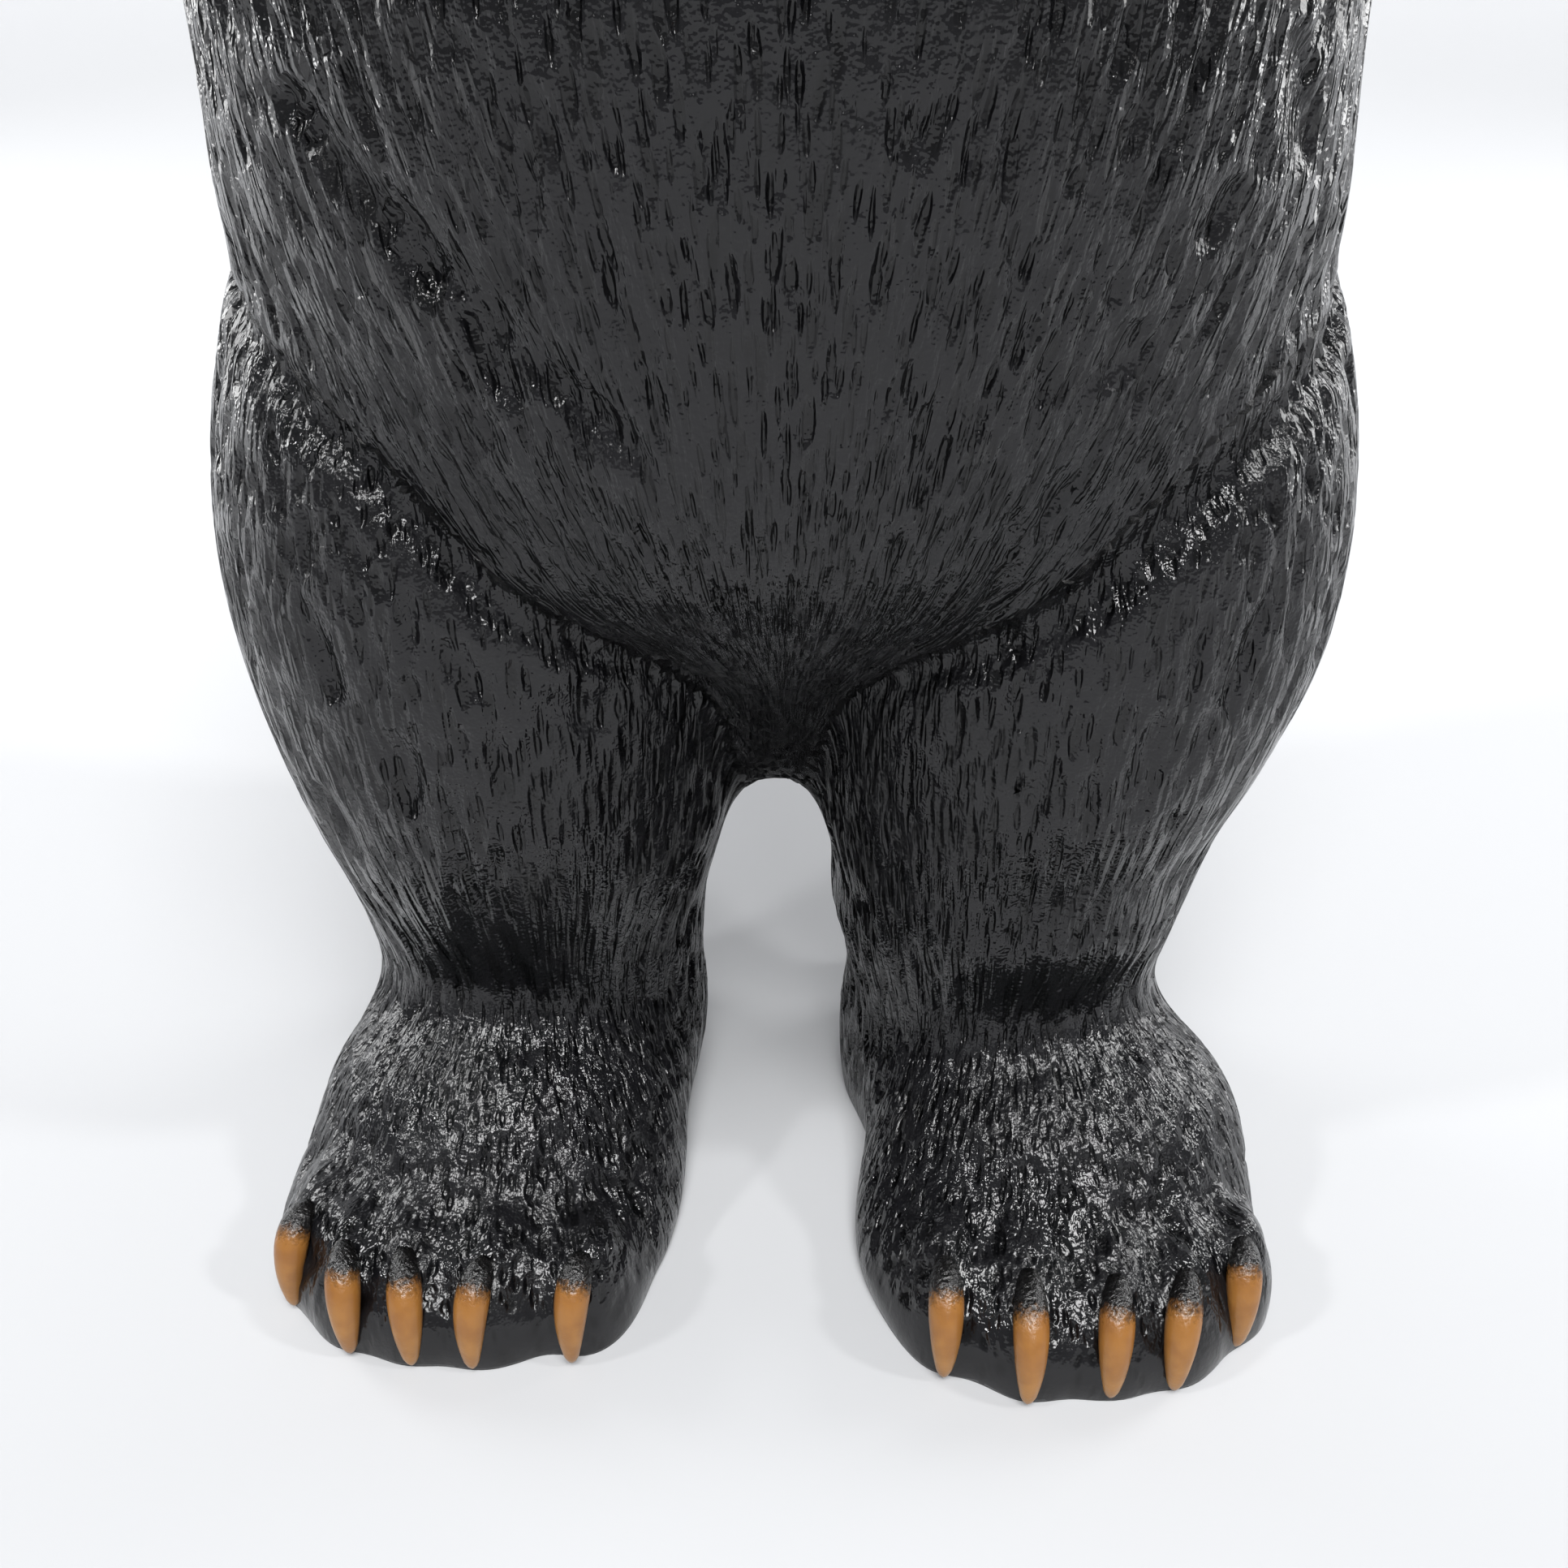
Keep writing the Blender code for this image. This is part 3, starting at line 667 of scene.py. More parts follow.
def lock_rows(face: Face, across: tuple[float, float], heights: tuple[float, float],
              length: float, pitch: float) -> list[Groove]:
    """Staggered rows of locks, each a gouge that curls a little to one side.

    Args:
        face: Side of the statue from which the rows are laid out.
        across: Lowest and highest place across that side.
        heights: Lowest and highest place above the ground.
        length: Length of one gouge.
        pitch: Distance between neighbours.

    Returns:
        The gouges.
    """
    grooves = []
    rows = int(round((heights[1] - heights[0]) / (0.8 * length)))
    for row in range(rows):
        top = heights[1] - 0.8 * length * row
        count = int((across[1] - across[0]) / pitch)
        for place in range(count):
            sway = math.sin(2.7 * place + 4.1 * row)
            u = across[0] + pitch * (place + 0.5 + 0.5 * (row % 2)) + 0.18 * pitch * sway
            if u > across[1]:
                continue
            curl = 0.20 * length * math.sin(1.3 * row + 2.1 * place)
            fall = length * (0.85 + 0.2 * sway)
            path = ((u, top), (u + 0.6 * curl, top - 0.5 * fall), (u + 0.4 * curl, top - fall))
            grooves.append(Groove(face, path, 0.0032, 0.0050))
    return grooves


def fur_carving() -> list[Groove]:
    """Every fold and lock that shows from a step away.

    Returns:
        The folds and locks.
    """
    grooves = belly_folds() + belly_and_thigh_gouges()
    grooves += lock_rows(Face.FRONT, (-0.085, 0.085), (0.600, 0.700), 0.040, 0.030)
    grooves += lock_rows(Face.BACK, (-0.120, 0.120), (0.380, 0.700), 0.062, 0.034)
    grooves += lock_rows(Face.BACK, (-0.150, 0.150), (0.190, 0.330), 0.055, 0.040)
    for face in (Face.RIGHT, Face.LEFT):
        grooves += lock_rows(face, (-0.070, 0.090), (0.540, 0.690), 0.052, 0.034)
        grooves += lock_rows(face, (-0.080, 0.090), (0.150, 0.460), 0.060, 0.040)
    return grooves


# The whole figure

class Region(Enum):
    """Part of the body whose fur flows in one way."""

    TORSO = 0
    RIGHT_LEG = 1
    LEFT_LEG = 2
    RIGHT_ARM = 3
    LEFT_ARM = 4
    HEAD = 5


@dataclass
class Figure:
    """The sculpted bear: masses by region, hollows and grooves."""

    regions: dict[Region, list[Mass]] = field(default_factory=dict)
    hollows: list[Mass] = field(default_factory=face_carving)
    grooves: list[Groove] = field(default_factory=fur_carving)

    def __post_init__(self) -> None:
        """Lay out the masses of every region."""
        self.regions = {
            Region.TORSO: [torso()],
            Region.RIGHT_LEG: [right_leg()] + foot(RIGHT_FOOT),
            Region.LEFT_LEG: [left_leg()] + foot(LEFT_FOOT),
            Region.RIGHT_ARM: arm(RIGHT),
            Region.LEFT_ARM: arm(LEFT),
            Region.HEAD: head(),
        }

    def masses(self) -> list[Mass]:
        """Every mass, in the order in which the sculptor adds them.

        Returns:
            Trunk and legs, rump, arms, head and feet.
        """
        parts = self.regions
        ordered = [parts[Region.TORSO][0], parts[Region.RIGHT_LEG][0], parts[Region.LEFT_LEG][0]]
        ordered += rump() + parts[Region.RIGHT_ARM] + parts[Region.LEFT_ARM] + parts[Region.HEAD]
        return ordered + parts[Region.RIGHT_LEG][1:] + parts[Region.LEFT_LEG][1:]

    def distance(self, points: np.ndarray, carved: bool = True) -> np.ndarray:
        """Signed distance from the figure.

        Args:
            points: Places, one per row.
            carved: Whether folds and locks are cut in.

        Returns:
            Distances in metres, below zero inside.
        """
        ordered = self.masses()
        result = ordered[0].distance(points)
        for mass in ordered[1:]:
            result = smooth_min(result, mass.distance(points), mass.blend)
        for hollow in self.hollows:
            result = smooth_max(result, -hollow.distance(points), hollow.blend)
        if carved:
            for groove in self.grooves:
                groove.carve(points, result)
        return result

    def slope(self, points: np.ndarray, value: np.ndarray) -> np.ndarray:
        """Gradient of the signed distance.

        Args:
            points: Places, one per row.
            value: Signed distances at the points.

        Returns:
            One vector per point.
        """
        slope = np.empty_like(points)
        for axis in range(3):
            ahead = points.copy()
            ahead[:, axis] += SLOPE_STEP
            slope[:, axis] = (self.distance(ahead) - value) / SLOPE_STEP
        return slope

    def settle(self, points: np.ndarray, rounds: int, reach: float = 0.004) -> np.ndarray:
        """Move points along the slope until they lie on the surface.

        Args:
            points: Places near the surface.
            rounds: Number of moves.
            reach: Longest move.

        Returns:
            The moved points.
        """
        for _ in range(rounds):
            value = self.distance(points)
            slope = self.slope(points, value)
            steepness = np.maximum(np.sum(slope * slope, axis=1), 0.25)
            move = slope * (value / steepness)[:, None]
            length = np.linalg.norm(move, axis=1)
            move *= np.minimum(1.0, reach / np.maximum(length, 1e-9))[:, None]
            points = points - move
        return points

    def region_of(self, points: np.ndarray) -> np.ndarray:
        """Region nearest to each point.

        Args:
            points: Places on the surface.

        Returns:
            One Region value per point.
        """
        best = np.full(len(points), np.inf)
        region = np.zeros(len(points), dtype=int)
        for key, masses in self.regions.items():
            reach = np.min([mass.distance(points) for mass in masses], axis=0)
            closer = reach < best
            best[closer] = reach[closer]
            region[closer] = key.value
        return region


@dataclass(frozen=True)
class Flow:
    """Lie of the fur at each point.

    Across and along are metres over the skin.  Ring is a place on a cylinder,
    so that a solid texture read there has no seam.
    """

    across: np.ndarray
    along: np.ndarray
    ring: np.ndarray

    @staticmethod
    def over(points: np.ndarray, region: np.ndarray) -> "Flow":
        """Flow of the fur over the whole figure.

        Args:
            points: Places on the surface.
            region: Region value of each point.

        Returns:
            The flow.
        """
        across = np.zeros(len(points))
        along = np.zeros(len(points))
        ring = np.zeros((len(points), 3))
        for key in Region:
            own = region == key.value
            if own.any():
                across[own], along[own], ring[own] = _flow_in(key, points[own])
        return Flow(across, along, ring)


def _round_axis(side_x: np.ndarray, side_y: np.ndarray, along: np.ndarray,
                radius: float) -> tuple[np.ndarray, np.ndarray, np.ndarray]:
    """Flow round an axis.

    Args:
        side_x: First distance from the axis.
        side_y: Second distance from the axis.
        along: Place along the fur.
        radius: Radius at which strokes have their true width.

    Returns:
        Across, along and ring.
    """
    reach = np.maximum(np.hypot(side_x, side_y), 1e-5)
    across = radius * np.arctan2(side_x, -side_y)
    ring = np.stack((radius * side_x / reach, radius * side_y / reach, along), axis=1)
    return across, along, ring


def _flow_in(key: Region, points: np.ndarray) -> tuple[np.ndarray, np.ndarray, np.ndarray]:
    """Flow of the fur inside one region.

    Args:
        key: The region.
        points: Places in it.

    Returns:
        Across, along and ring.
    """
    x, y, z = points.T
    if key is Region.TORSO:
        # below the navel the strokes converge on the crotch
        spread = np.clip(z - FUR_FOCUS_HEIGHT, 0.10, 0.36) / 0.36
        out = np.maximum(np.hypot(x / spread, y), 0.05)
        ring_x = TORSO_REACH * x / spread / out
        ring_y = TORSO_REACH * y / out
        fall = np.hypot(z - FUR_FOCUS_HEIGHT, 0.8 * x)
        across = TORSO_REACH * np.arctan2(ring_x, -ring_y)
        return across, fall, np.stack((ring_x, ring_y, fall), axis=1)
    if key in (Region.RIGHT_LEG, Region.LEFT_LEG):
        plan = RIGHT_FOOT if key is Region.RIGHT_LEG else LEFT_FOOT
        side_x = x - plan.heel[0]
        side_y = y - (plan.heel[1] - 0.022)
        # over the instep the strokes run from the shin out to the toes
        reach = np.maximum(np.hypot(side_x, side_y) - 0.050, 0.0)
        return _round_axis(side_x, side_y, z - 1.15 * reach, LEG_REACH)
    if key is Region.HEAD:
        return _round_axis(x, z - 0.800, y, HEAD_REACH)
    side = RIGHT if key is Region.RIGHT_ARM else LEFT
    shoulder, elbow, wrist = (np.array(joint) for joint in arm_joints(side))
    lower = np.linalg.norm(points - wrist, axis=1) < np.linalg.norm(points - shoulder, axis=1)
    start = np.where(lower[:, None], elbow, shoulder)
    end = np.where(lower[:, None], wrist, elbow)
    axis = end - start
    axis /= np.linalg.norm(axis, axis=1)[:, None]
    local = points - start
    fall = np.sum(local * axis, axis=1)
    out = local - fall[:, None] * axis
    upright = np.cross(axis, np.array((1.0, 0.0, 0.0)))
    upright /= np.linalg.norm(upright, axis=1)[:, None]
    aside = np.cross(axis, upright)
    along = -fall - np.where(lower, 0.14, 0.0)
    return _round_axis(np.sum(out * aside, axis=1), np.sum(out * upright, axis=1), along,
                       ARM_REACH)


def scatter(cell: np.ndarray, seed: float) -> np.ndarray:
    """Repeatable random share for each whole-numbered cell.

    Args:
        cell: Two columns of whole numbers.
        seed: Number that picks the series.

    Returns:
        Shares from 0 to 1.
    """
    mixed = np.sin(cell[:, 0] * 127.1 + cell[:, 1] * 311.7 + seed * 74.7) * 43758.5453
    return mixed - np.floor(mixed)


@dataclass(frozen=True)
class KnifeStrokes:
    """One set of strokes cut along the fur: sizes in millimetres."""

    pitch: tuple[float, float]
    length: float
    half_width: float
    depth: float
    chance: float
    seed: float

    def depth_at(self, flow: Flow) -> np.ndarray:
        """Depth of the cut at each point.

        Args:
            flow: Lie of the fur.

        Returns:
            Depths in metres.
        """
        place = np.stack((flow.across, flow.along), axis=1) * 1000.0
        pitch = np.array(self.pitch)
        home = np.floor(place / pitch)
        depth = np.zeros(len(place))
        for step_across in (-1, 0, 1):
            for step_along in (-1, 0, 1):
                cell = home + (step_across, step_along)
                middle = cell + 0.5
                middle[:, 0] += 0.8 * (scatter(cell, self.seed) - 0.5)
                middle[:, 1] += 0.8 * (scatter(cell, self.seed + 1.0) - 0.5)
                lean = 0.5 * (scatter(cell, self.seed + 2.0) - 0.5)
                half = 0.5 * self.length * (0.55 + 0.9 * scatter(cell, self.seed + 3.0))
                gap = place - middle * pitch
                turned = gap[:, 0] * np.cos(lean) + gap[:, 1] * np.sin(lean)
                along = gap[:, 1] * np.cos(lean) - gap[:, 0] * np.sin(lean)
                share = np.clip(1.0 - (along / half) ** 2, 0.0, 1.0)
                width = self.half_width * (0.4 + 0.6 * share)
                cut = self.depth * np.sqrt(share) * np.exp(-(turned / width) ** 2)
                cut *= scatter(cell, self.seed + 4.0) < self.chance
                depth = np.maximum(depth, cut)
        return depth * 0.001


# Mesh helpers

def read_points(mesh: bpy.types.Mesh) -> np.ndarray:
    """Vertex places of a mesh.

    Args:
        mesh: The mesh.

    Returns:
        One row per vertex.
    """
    flat = np.empty(len(mesh.vertices) * 3)
    mesh.vertices.foreach_get("co", flat)
    return flat.reshape(-1, 3)


def write_points(mesh: bpy.types.Mesh, points: np.ndarray) -> None:
    """Move a mesh's vertices.

    Args:
        mesh: The mesh.
        points: New place of every vertex.
    """
    mesh.vertices.foreach_set("co", points.ravel())
    mesh.update()


def apply_modifiers(piece: bpy.types.Object) -> None:
    """Replace an object's mesh by its evaluated one and clear its modifiers.

    Args:
        piece: The object.
    """
    graph = bpy.context.evaluated_depsgraph_get()
    mesh = bpy.data.meshes.new_from_object(piece.evaluated_get(graph))
    piece.modifiers.clear()
    old = piece.data
    piece.data = mesh
    bpy.data.meshes.remove(old)


def store(mesh: bpy.types.Mesh, name: str, kind: str, values: np.ndarray) -> None:
    """Keep a value on every vertex for the materials.

    Args:
        mesh: The mesh.
        name: Name of the attribute.
        kind: FLOAT or FLOAT_VECTOR.
        values: One value or vector per vertex.
    """
    attribute = mesh.attributes.new(name, kind, "POINT")
    attribute.data.foreach_set("value" if kind == "FLOAT" else "vector", values.ravel())


def rough_out(figure: Figure) -> bpy.types.Mesh:
    """Closed blocks of clay: the walls of every grid cell inside the figure.

    Args:
        figure: The bear.

    Returns:
        The clay.
    """
    low = np.array(CLAY_LOW)
    count = np.ceil((np.array(CLAY_HIGH) - low) / CLAY_CELL).astype(int)
    axes = [low[axis] + CLAY_CELL * np.arange(count[axis]) for axis in range(3)]
    grid = np.stack(np.meshgrid(*axes, indexing="ij"), axis=-1)
    inside = (figure.distance(grid.reshape(-1, 3), carved=False) < 0.0).reshape(count)
    corners: dict[tuple[int, ...], int] = {}
    faces = []
    for axis in range(3):
        step = np.zeros(3, dtype=int)
        step[axis] = 1
        across = np.roll(step, 1)
        along = np.roll(step, 2)
        change = np.diff(inside.astype(int), axis=axis)
        for cell in np.argwhere(change != 0):
            base = cell + step
            ring = [base, base + across, base + across + along, base + along]
            if change[tuple(cell)] > 0:
                ring.reverse()
            faces.append([corners.setdefault(tuple(corner), len(corners)) for corner in ring])
    points = low + CLAY_CELL * (np.array(list(corners)) - 0.5)
    mesh = bpy.data.meshes.new("clay")
    mesh.from_pydata(points.tolist(), [], faces)
    return mesh


# Materials

# Inputs by number: Mix has its share at 0 and its two colours at 6 and 7, and
# MapRange has its value at 0, what it maps from at 1 and 2, and to at 3 and 4
MM = 1000.0     # millimetres in a metre
TIMES = {"operation": "MULTIPLY"}
TIMES_PLUS = {"operation": "MULTIPLY_ADD"}
SMOOTH = {"interpolation_type": "SMOOTHSTEP"}
COLOURS = {"data_type": "RGBA"}


def linear(colour: str) -> tuple[float, float, float, float]:
    """Linear colour of an sRGB hex value.

    Args:
        colour: Six hex digits, with or without a leading hash.

    Returns:
        Red, green, blue and alpha.
    """
    digits = colour.lstrip("#")
    channels = [int(digits[place:place + 2], 16) / 255.0 for place in (0, 2, 4)]
    red, green, blue = (
        share / 12.92 if share <= 0.04045 else ((share + 0.055) / 1.055) ** 2.4
        for share in channels
    )
    return red, green, blue, 1.0


def node(tree: bpy.types.NodeTree, kind: str, settings: dict[str, str] | None = None,
         links: dict[str | int, object] | None = None,
         out: str | int = 0) -> bpy.types.NodeSocket | None:
    """Add one node with its settings and links.

    Args:
        tree: Node tree to add to.
        kind: Node type without its ShaderNode prefix.
        settings: Attributes of the node.
        links: Input name or number to an output socket, or to a constant.
        out: Name or number of the output to hand back.

    Returns:
        That output, or None for a node that has none.
    """
    made = tree.nodes.new("ShaderNode" + kind)
    for name, value in (settings or {}).items():
        setattr(made, name, value)
    for name, value in (links or {}).items():
        if isinstance(value, bpy.types.NodeSocket):
            tree.links.new(value, made.inputs[name])
        else:
            made.inputs[name].default_value = value
    return made.outputs[out] if made.outputs else None


def blank_material(name: str) -> tuple[bpy.types.Material, bpy.types.NodeTree]:
    """Material with an empty node tree.

    Args:
        name: Name of the material.

    Returns:
        The material and its tree.
    """
    material = bpy.data.materials.new(name)
    material.use_nodes = True
    material.node_tree.nodes.clear()
    return material, material.node_tree


@dataclass(frozen=True)
class BlackPaint:
    """Gloss black alkyd spray paint over cast polyester resin.

    The resin was cast from a modelled fur, so the paint lies over pits about
    2 mm wide drawn out along the hair, finer hairs on their crests, and the
    droplets of the spray.  The pits are painted a darker black than the
    crests, as painted shade, and small glints show wherever a crest turns to
    the light.
    """

    # the pits take the deep colour and the crests the lighter one: painted shade in the carving
    deep: str = "#050506"
    crest: str = "#121214"
    muzzle: str = "#4A2E18"
    ior: float = 1.46
    roughness: float = 0.18
    relief_m: float = 0.0011
    stroke_mm: tuple[float, float] = (2.3, 13.0)
    gouge_mm: tuple[float, float] = (4.37, 19.5)
    fibre_mm: tuple[float, float] = (1.5, 9.0)
    # the spray's droplets, about 0.4 mm across, are drawn coarser so that they show
    droplet_mm: float = 1.9
    patch_mm: float = 26.3

    def build(self) -> bpy.types.Material:
        """Make the material.

        Returns:
            The material.
        """
        material, tree = blank_material("black_gloss_resin_paint")
        ring = node(tree, "Attribute", {"attribute_name": "fur_ring"}, out="Vector")
        place = node(tree, "TexCoord", out="Object")
        strokes = self._strokes(tree, ring, self.stroke_mm, 0.0)
        gouges = self._strokes(tree, ring, self.gouge_mm, 3.7)
        carving = node(tree, "Math", TIMES, {0: strokes, 1: gouges})
        width, length = self.fibre_mm
        drawn = node(tree, "Mapping", None,
                     {"Vector": ring, "Scale": (MM / width, MM / width, MM / length)})
        fibres = node(tree, "TexNoise", None,
                      {"Vector": drawn, "Scale": 1.0, "Detail": 2.0, "Roughness": 0.6})
        droplets = node(tree, "TexNoise", None,
                        {"Vector": place, "Scale": MM / self.droplet_mm, "Detail": 1.0,
                         "Roughness": 0.7})
        height = node(tree, "Math", TIMES_PLUS, {0: fibres, 1: 0.6, 2: carving})
        height = node(tree, "Math", TIMES_PLUS, {0: droplets, 1: 0.5, 2: height})
        # the foot's front between the claws is nearly smooth
        smooth = node(tree, "Attribute", {"attribute_name": "smooth_front"}, out="Fac")
        keep = node(tree, "Math", TIMES_PLUS, {0: smooth, 1: -0.85, 2: 1.0})
        bump = node(tree, "Bump", None,
                    {"Strength": keep, "Distance": self.relief_m, "Height": height})
        # painted shade: the carving's pits are painted darker than its crests
        colour = node(tree, "Mix", COLOURS,
                      {0: carving, 6: linear(self.deep), 7: linear(self.crest)}, out=2)
        snout = node(tree, "Attribute", {"attribute_name": "muzzle"}, out="Fac")
        colour = node(tree, "Mix", COLOURS, {0: snout, 6: colour, 7: linear(self.muzzle)}, out=2)
        # thicker and thinner coats, and a dull one in the crotch
        patches = node(tree, "TexNoise", None,
                       {"Vector": place, "Scale": MM / self.patch_mm, "Detail": 2.0})
        rough = node(tree, "MapRange", SMOOTH, {0: patches, 1: 0.35, 2: 0.65,
                                                3: self.roughness - 0.06,
                                                4: self.roughness + 0.08})
        recess = node(tree, "Attribute", {"attribute_name": "recess"}, out="Fac")
        rough = node(tree, "Math", TIMES_PLUS, {0: recess, 1: 0.12, 2: rough})
        shader = node(tree, "BsdfPrincipled", None,
                      {"Base Color": colour, "Roughness": rough, "IOR": self.ior,
                       "Normal": bump})
        node(tree, "OutputMaterial", None, {"Surface": shader})
        return material

    @staticmethod
    def _strokes(tree: bpy.types.NodeTree, ring: bpy.types.NodeSocket,
                 pitch: tuple[float, float], shift: float) -> bpy.types.NodeSocket:
        """Pits drawn out along the fur.

        Args:
            tree: Node tree.
            ring: Place on the flow's cylinder, in metres.
            pitch: Pitch across the strokes and along them, in millimetres.
            shift: Offset of the pattern.

        Returns:
            0 in a stroke and 1 between strokes.
        """
        width, length = pitch
        stretched = node(tree, "Mapping", None,
                         {"Vector": ring, "Location": (shift, shift, shift),
                          "Scale": (MM / width, MM / width, MM / length)})
        sway = node(tree, "TexNoise", None,
                    {"Vector": stretched, "Scale": 0.6, "Detail": 1.0}, out="Color")
        wander = node(tree, "VectorMath", TIMES_PLUS, {0: sway, 1: (0.9, 0.9, 0.9), 2: stretched})
        cells = node(tree, "TexVoronoi", {"feature": "F1"},
                     {"Vector": wander, "Scale": 1.0, "Randomness": 1.0}, out="Distance")
        return node(tree, "MapRange", SMOOTH, {0: cells, 1: 0.14, 2: 0.46})


@dataclass(frozen=True)
class ClawPaint:
    """Satin tan acrylic brushed on the claws, black airbrushed over their roots.

    The brushed tan is smooth and a little cloudy.  The thick black mist stands
    up in droplets, which glint.
    """

    tip: str = "#9A6C36"
    middle: str = "#875A28"
    cloud: str = "#653A18"
    root: str = "#0C0B0B"
    ior: float = 1.5
    roughness: float = 0.34
    mist_roughness: float = 0.16
    # the mist's droplets, about 0.4 mm across, are drawn coarser so that they show
    droplet_mm: float = 1.43
    cloud_mm: float = 8.33

    def build(self) -> bpy.types.Material:
        """Make the material.

        Returns:
            The material.
        """
        material, tree = blank_material("tan_claw_paint")
        along = node(tree, "Attribute", {"attribute_name": "claw_along"}, out="Fac")
        place = node(tree, "TexCoord", out="Object")
        mist = node(tree, "TexNoise", None,
                    {"Vector": place, "Scale": MM / self.droplet_mm, "Detail": 3.0})
        cloud = node(tree, "TexNoise", None,
                     {"Vector": place, "Scale": MM / self.cloud_mm, "Detail": 2.0})
        edge = node(tree, "Math", TIMES_PLUS, {0: mist, 1: 0.16, 2: along})
        edge = node(tree, "Math", TIMES_PLUS, {0: cloud, 1: 0.12, 2: edge})
        length = node(tree, "MapRange", SMOOTH, {0: along, 1: 0.35, 2: 0.95})
        tan = node(tree, "Mix", COLOURS,
                   {0: length, 6: linear(self.middle), 7: linear(self.tip)}, out=2)
        share = node(tree, "MapRange", SMOOTH, {0: cloud, 1: 0.35, 2: 0.70, 3: 0.0, 4: 0.35})
        tan = node(tree, "Mix", COLOURS, {0: share, 6: tan, 7: linear(self.cloud)}, out=2)
        bare = node(tree, "MapRange", SMOOTH, {0: edge, 1: 0.40, 2: 0.56})
        colour = node(tree, "Mix", COLOURS, {0: bare, 6: linear(self.root), 7: tan}, out=2)
        mottle = node(tree, "MapRange", SMOOTH, {0: edge, 1: 0.40, 2: 0.62, 3: 0.8, 4: 0.12})
        rough = node(tree, "MapRange", SMOOTH, {0: edge, 1: 0.40, 2: 0.62,
                                                3: self.mist_roughness, 4: self.roughness})
        bump = node(tree, "Bump", None,
                    {"Strength": mottle, "Distance": 0.0012, "Height": mist})
        shader = node(tree, "BsdfPrincipled", None,
                      {"Base Color": colour, "Roughness": rough, "IOR": self.ior,
                       "Normal": bump})
        node(tree, "OutputMaterial", None, {"Surface": shader})
        return material


@dataclass(frozen=True)
class EyePaint:
    """Dark brown enamel with a black pupil under clear gloss varnish."""

    iris: str = "#2A1408"
    pupil: str = "#020202"
    roughness: float = 0.18
    varnish_roughness: float = 0.05

    def build(self) -> bpy.types.Material:
        """Make the material.

        Returns:
            The material.
        """
        material, tree = blank_material("glossy_eye_paint")
        front = node(tree, "Attribute", {"attribute_name": "eye_front"}, out="Fac")
        share = node(tree, "MapRange", SMOOTH, {0: front, 1: 0.80, 2: 0.86})
        colour = node(tree, "Mix", COLOURS,
                      {0: share, 6: linear(self.iris), 7: linear(self.pupil)}, out=2)
        shader = node(tree, "BsdfPrincipled", None,
                      {"Base Color": colour, "Roughness": self.roughness, "Coat Weight": 1.0,
                       "Coat Roughness": self.varnish_roughness})
        node(tree, "OutputMaterial", None, {"Surface": shader})
        return material


@dataclass(frozen=True)
class FloorPaint:
    """Matt pale grey paper sweep, lit up to near white."""

    colour: str = "#B6B7B9"
    roughness: float = 0.75
    # the paper's grain, about 0.3 mm, is drawn coarser so that it shows
    grain_mm: float = 2.5

    def build(self) -> bpy.types.Material:
        """Make the material.

        Returns:
            The material.
        """
        material, tree = blank_material("pale_paper_sweep")
        place = node(tree, "TexCoord", out="Object")
        grain = node(tree, "TexNoise", None, {"Vector": place, "Scale": MM / self.grain_mm})
        bump = node(tree, "Bump", None, {"Strength": 0.05, "Distance": 0.0005, "Height": grain})
        shader = node(tree, "BsdfPrincipled", None,
                      {"Base Color": linear(self.colour), "Roughness": self.roughness,
                       "Normal": bump})
        node(tree, "OutputMaterial", None, {"Surface": shader})
        return material


# Pieces

def dress(piece: bpy.types.Object, material: bpy.types.Material) -> None:
    """Link a piece, paint it, and let it ride on the statue's body.

    Args:
        piece: The piece.
        material: Its paint.
    """
    if piece.name not in bpy.context.collection.objects:
        bpy.context.collection.objects.link(piece)
    piece.data.materials.clear()
    piece.data.materials.append(material)
    piece.data.shade_smooth()
    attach(piece, "root")


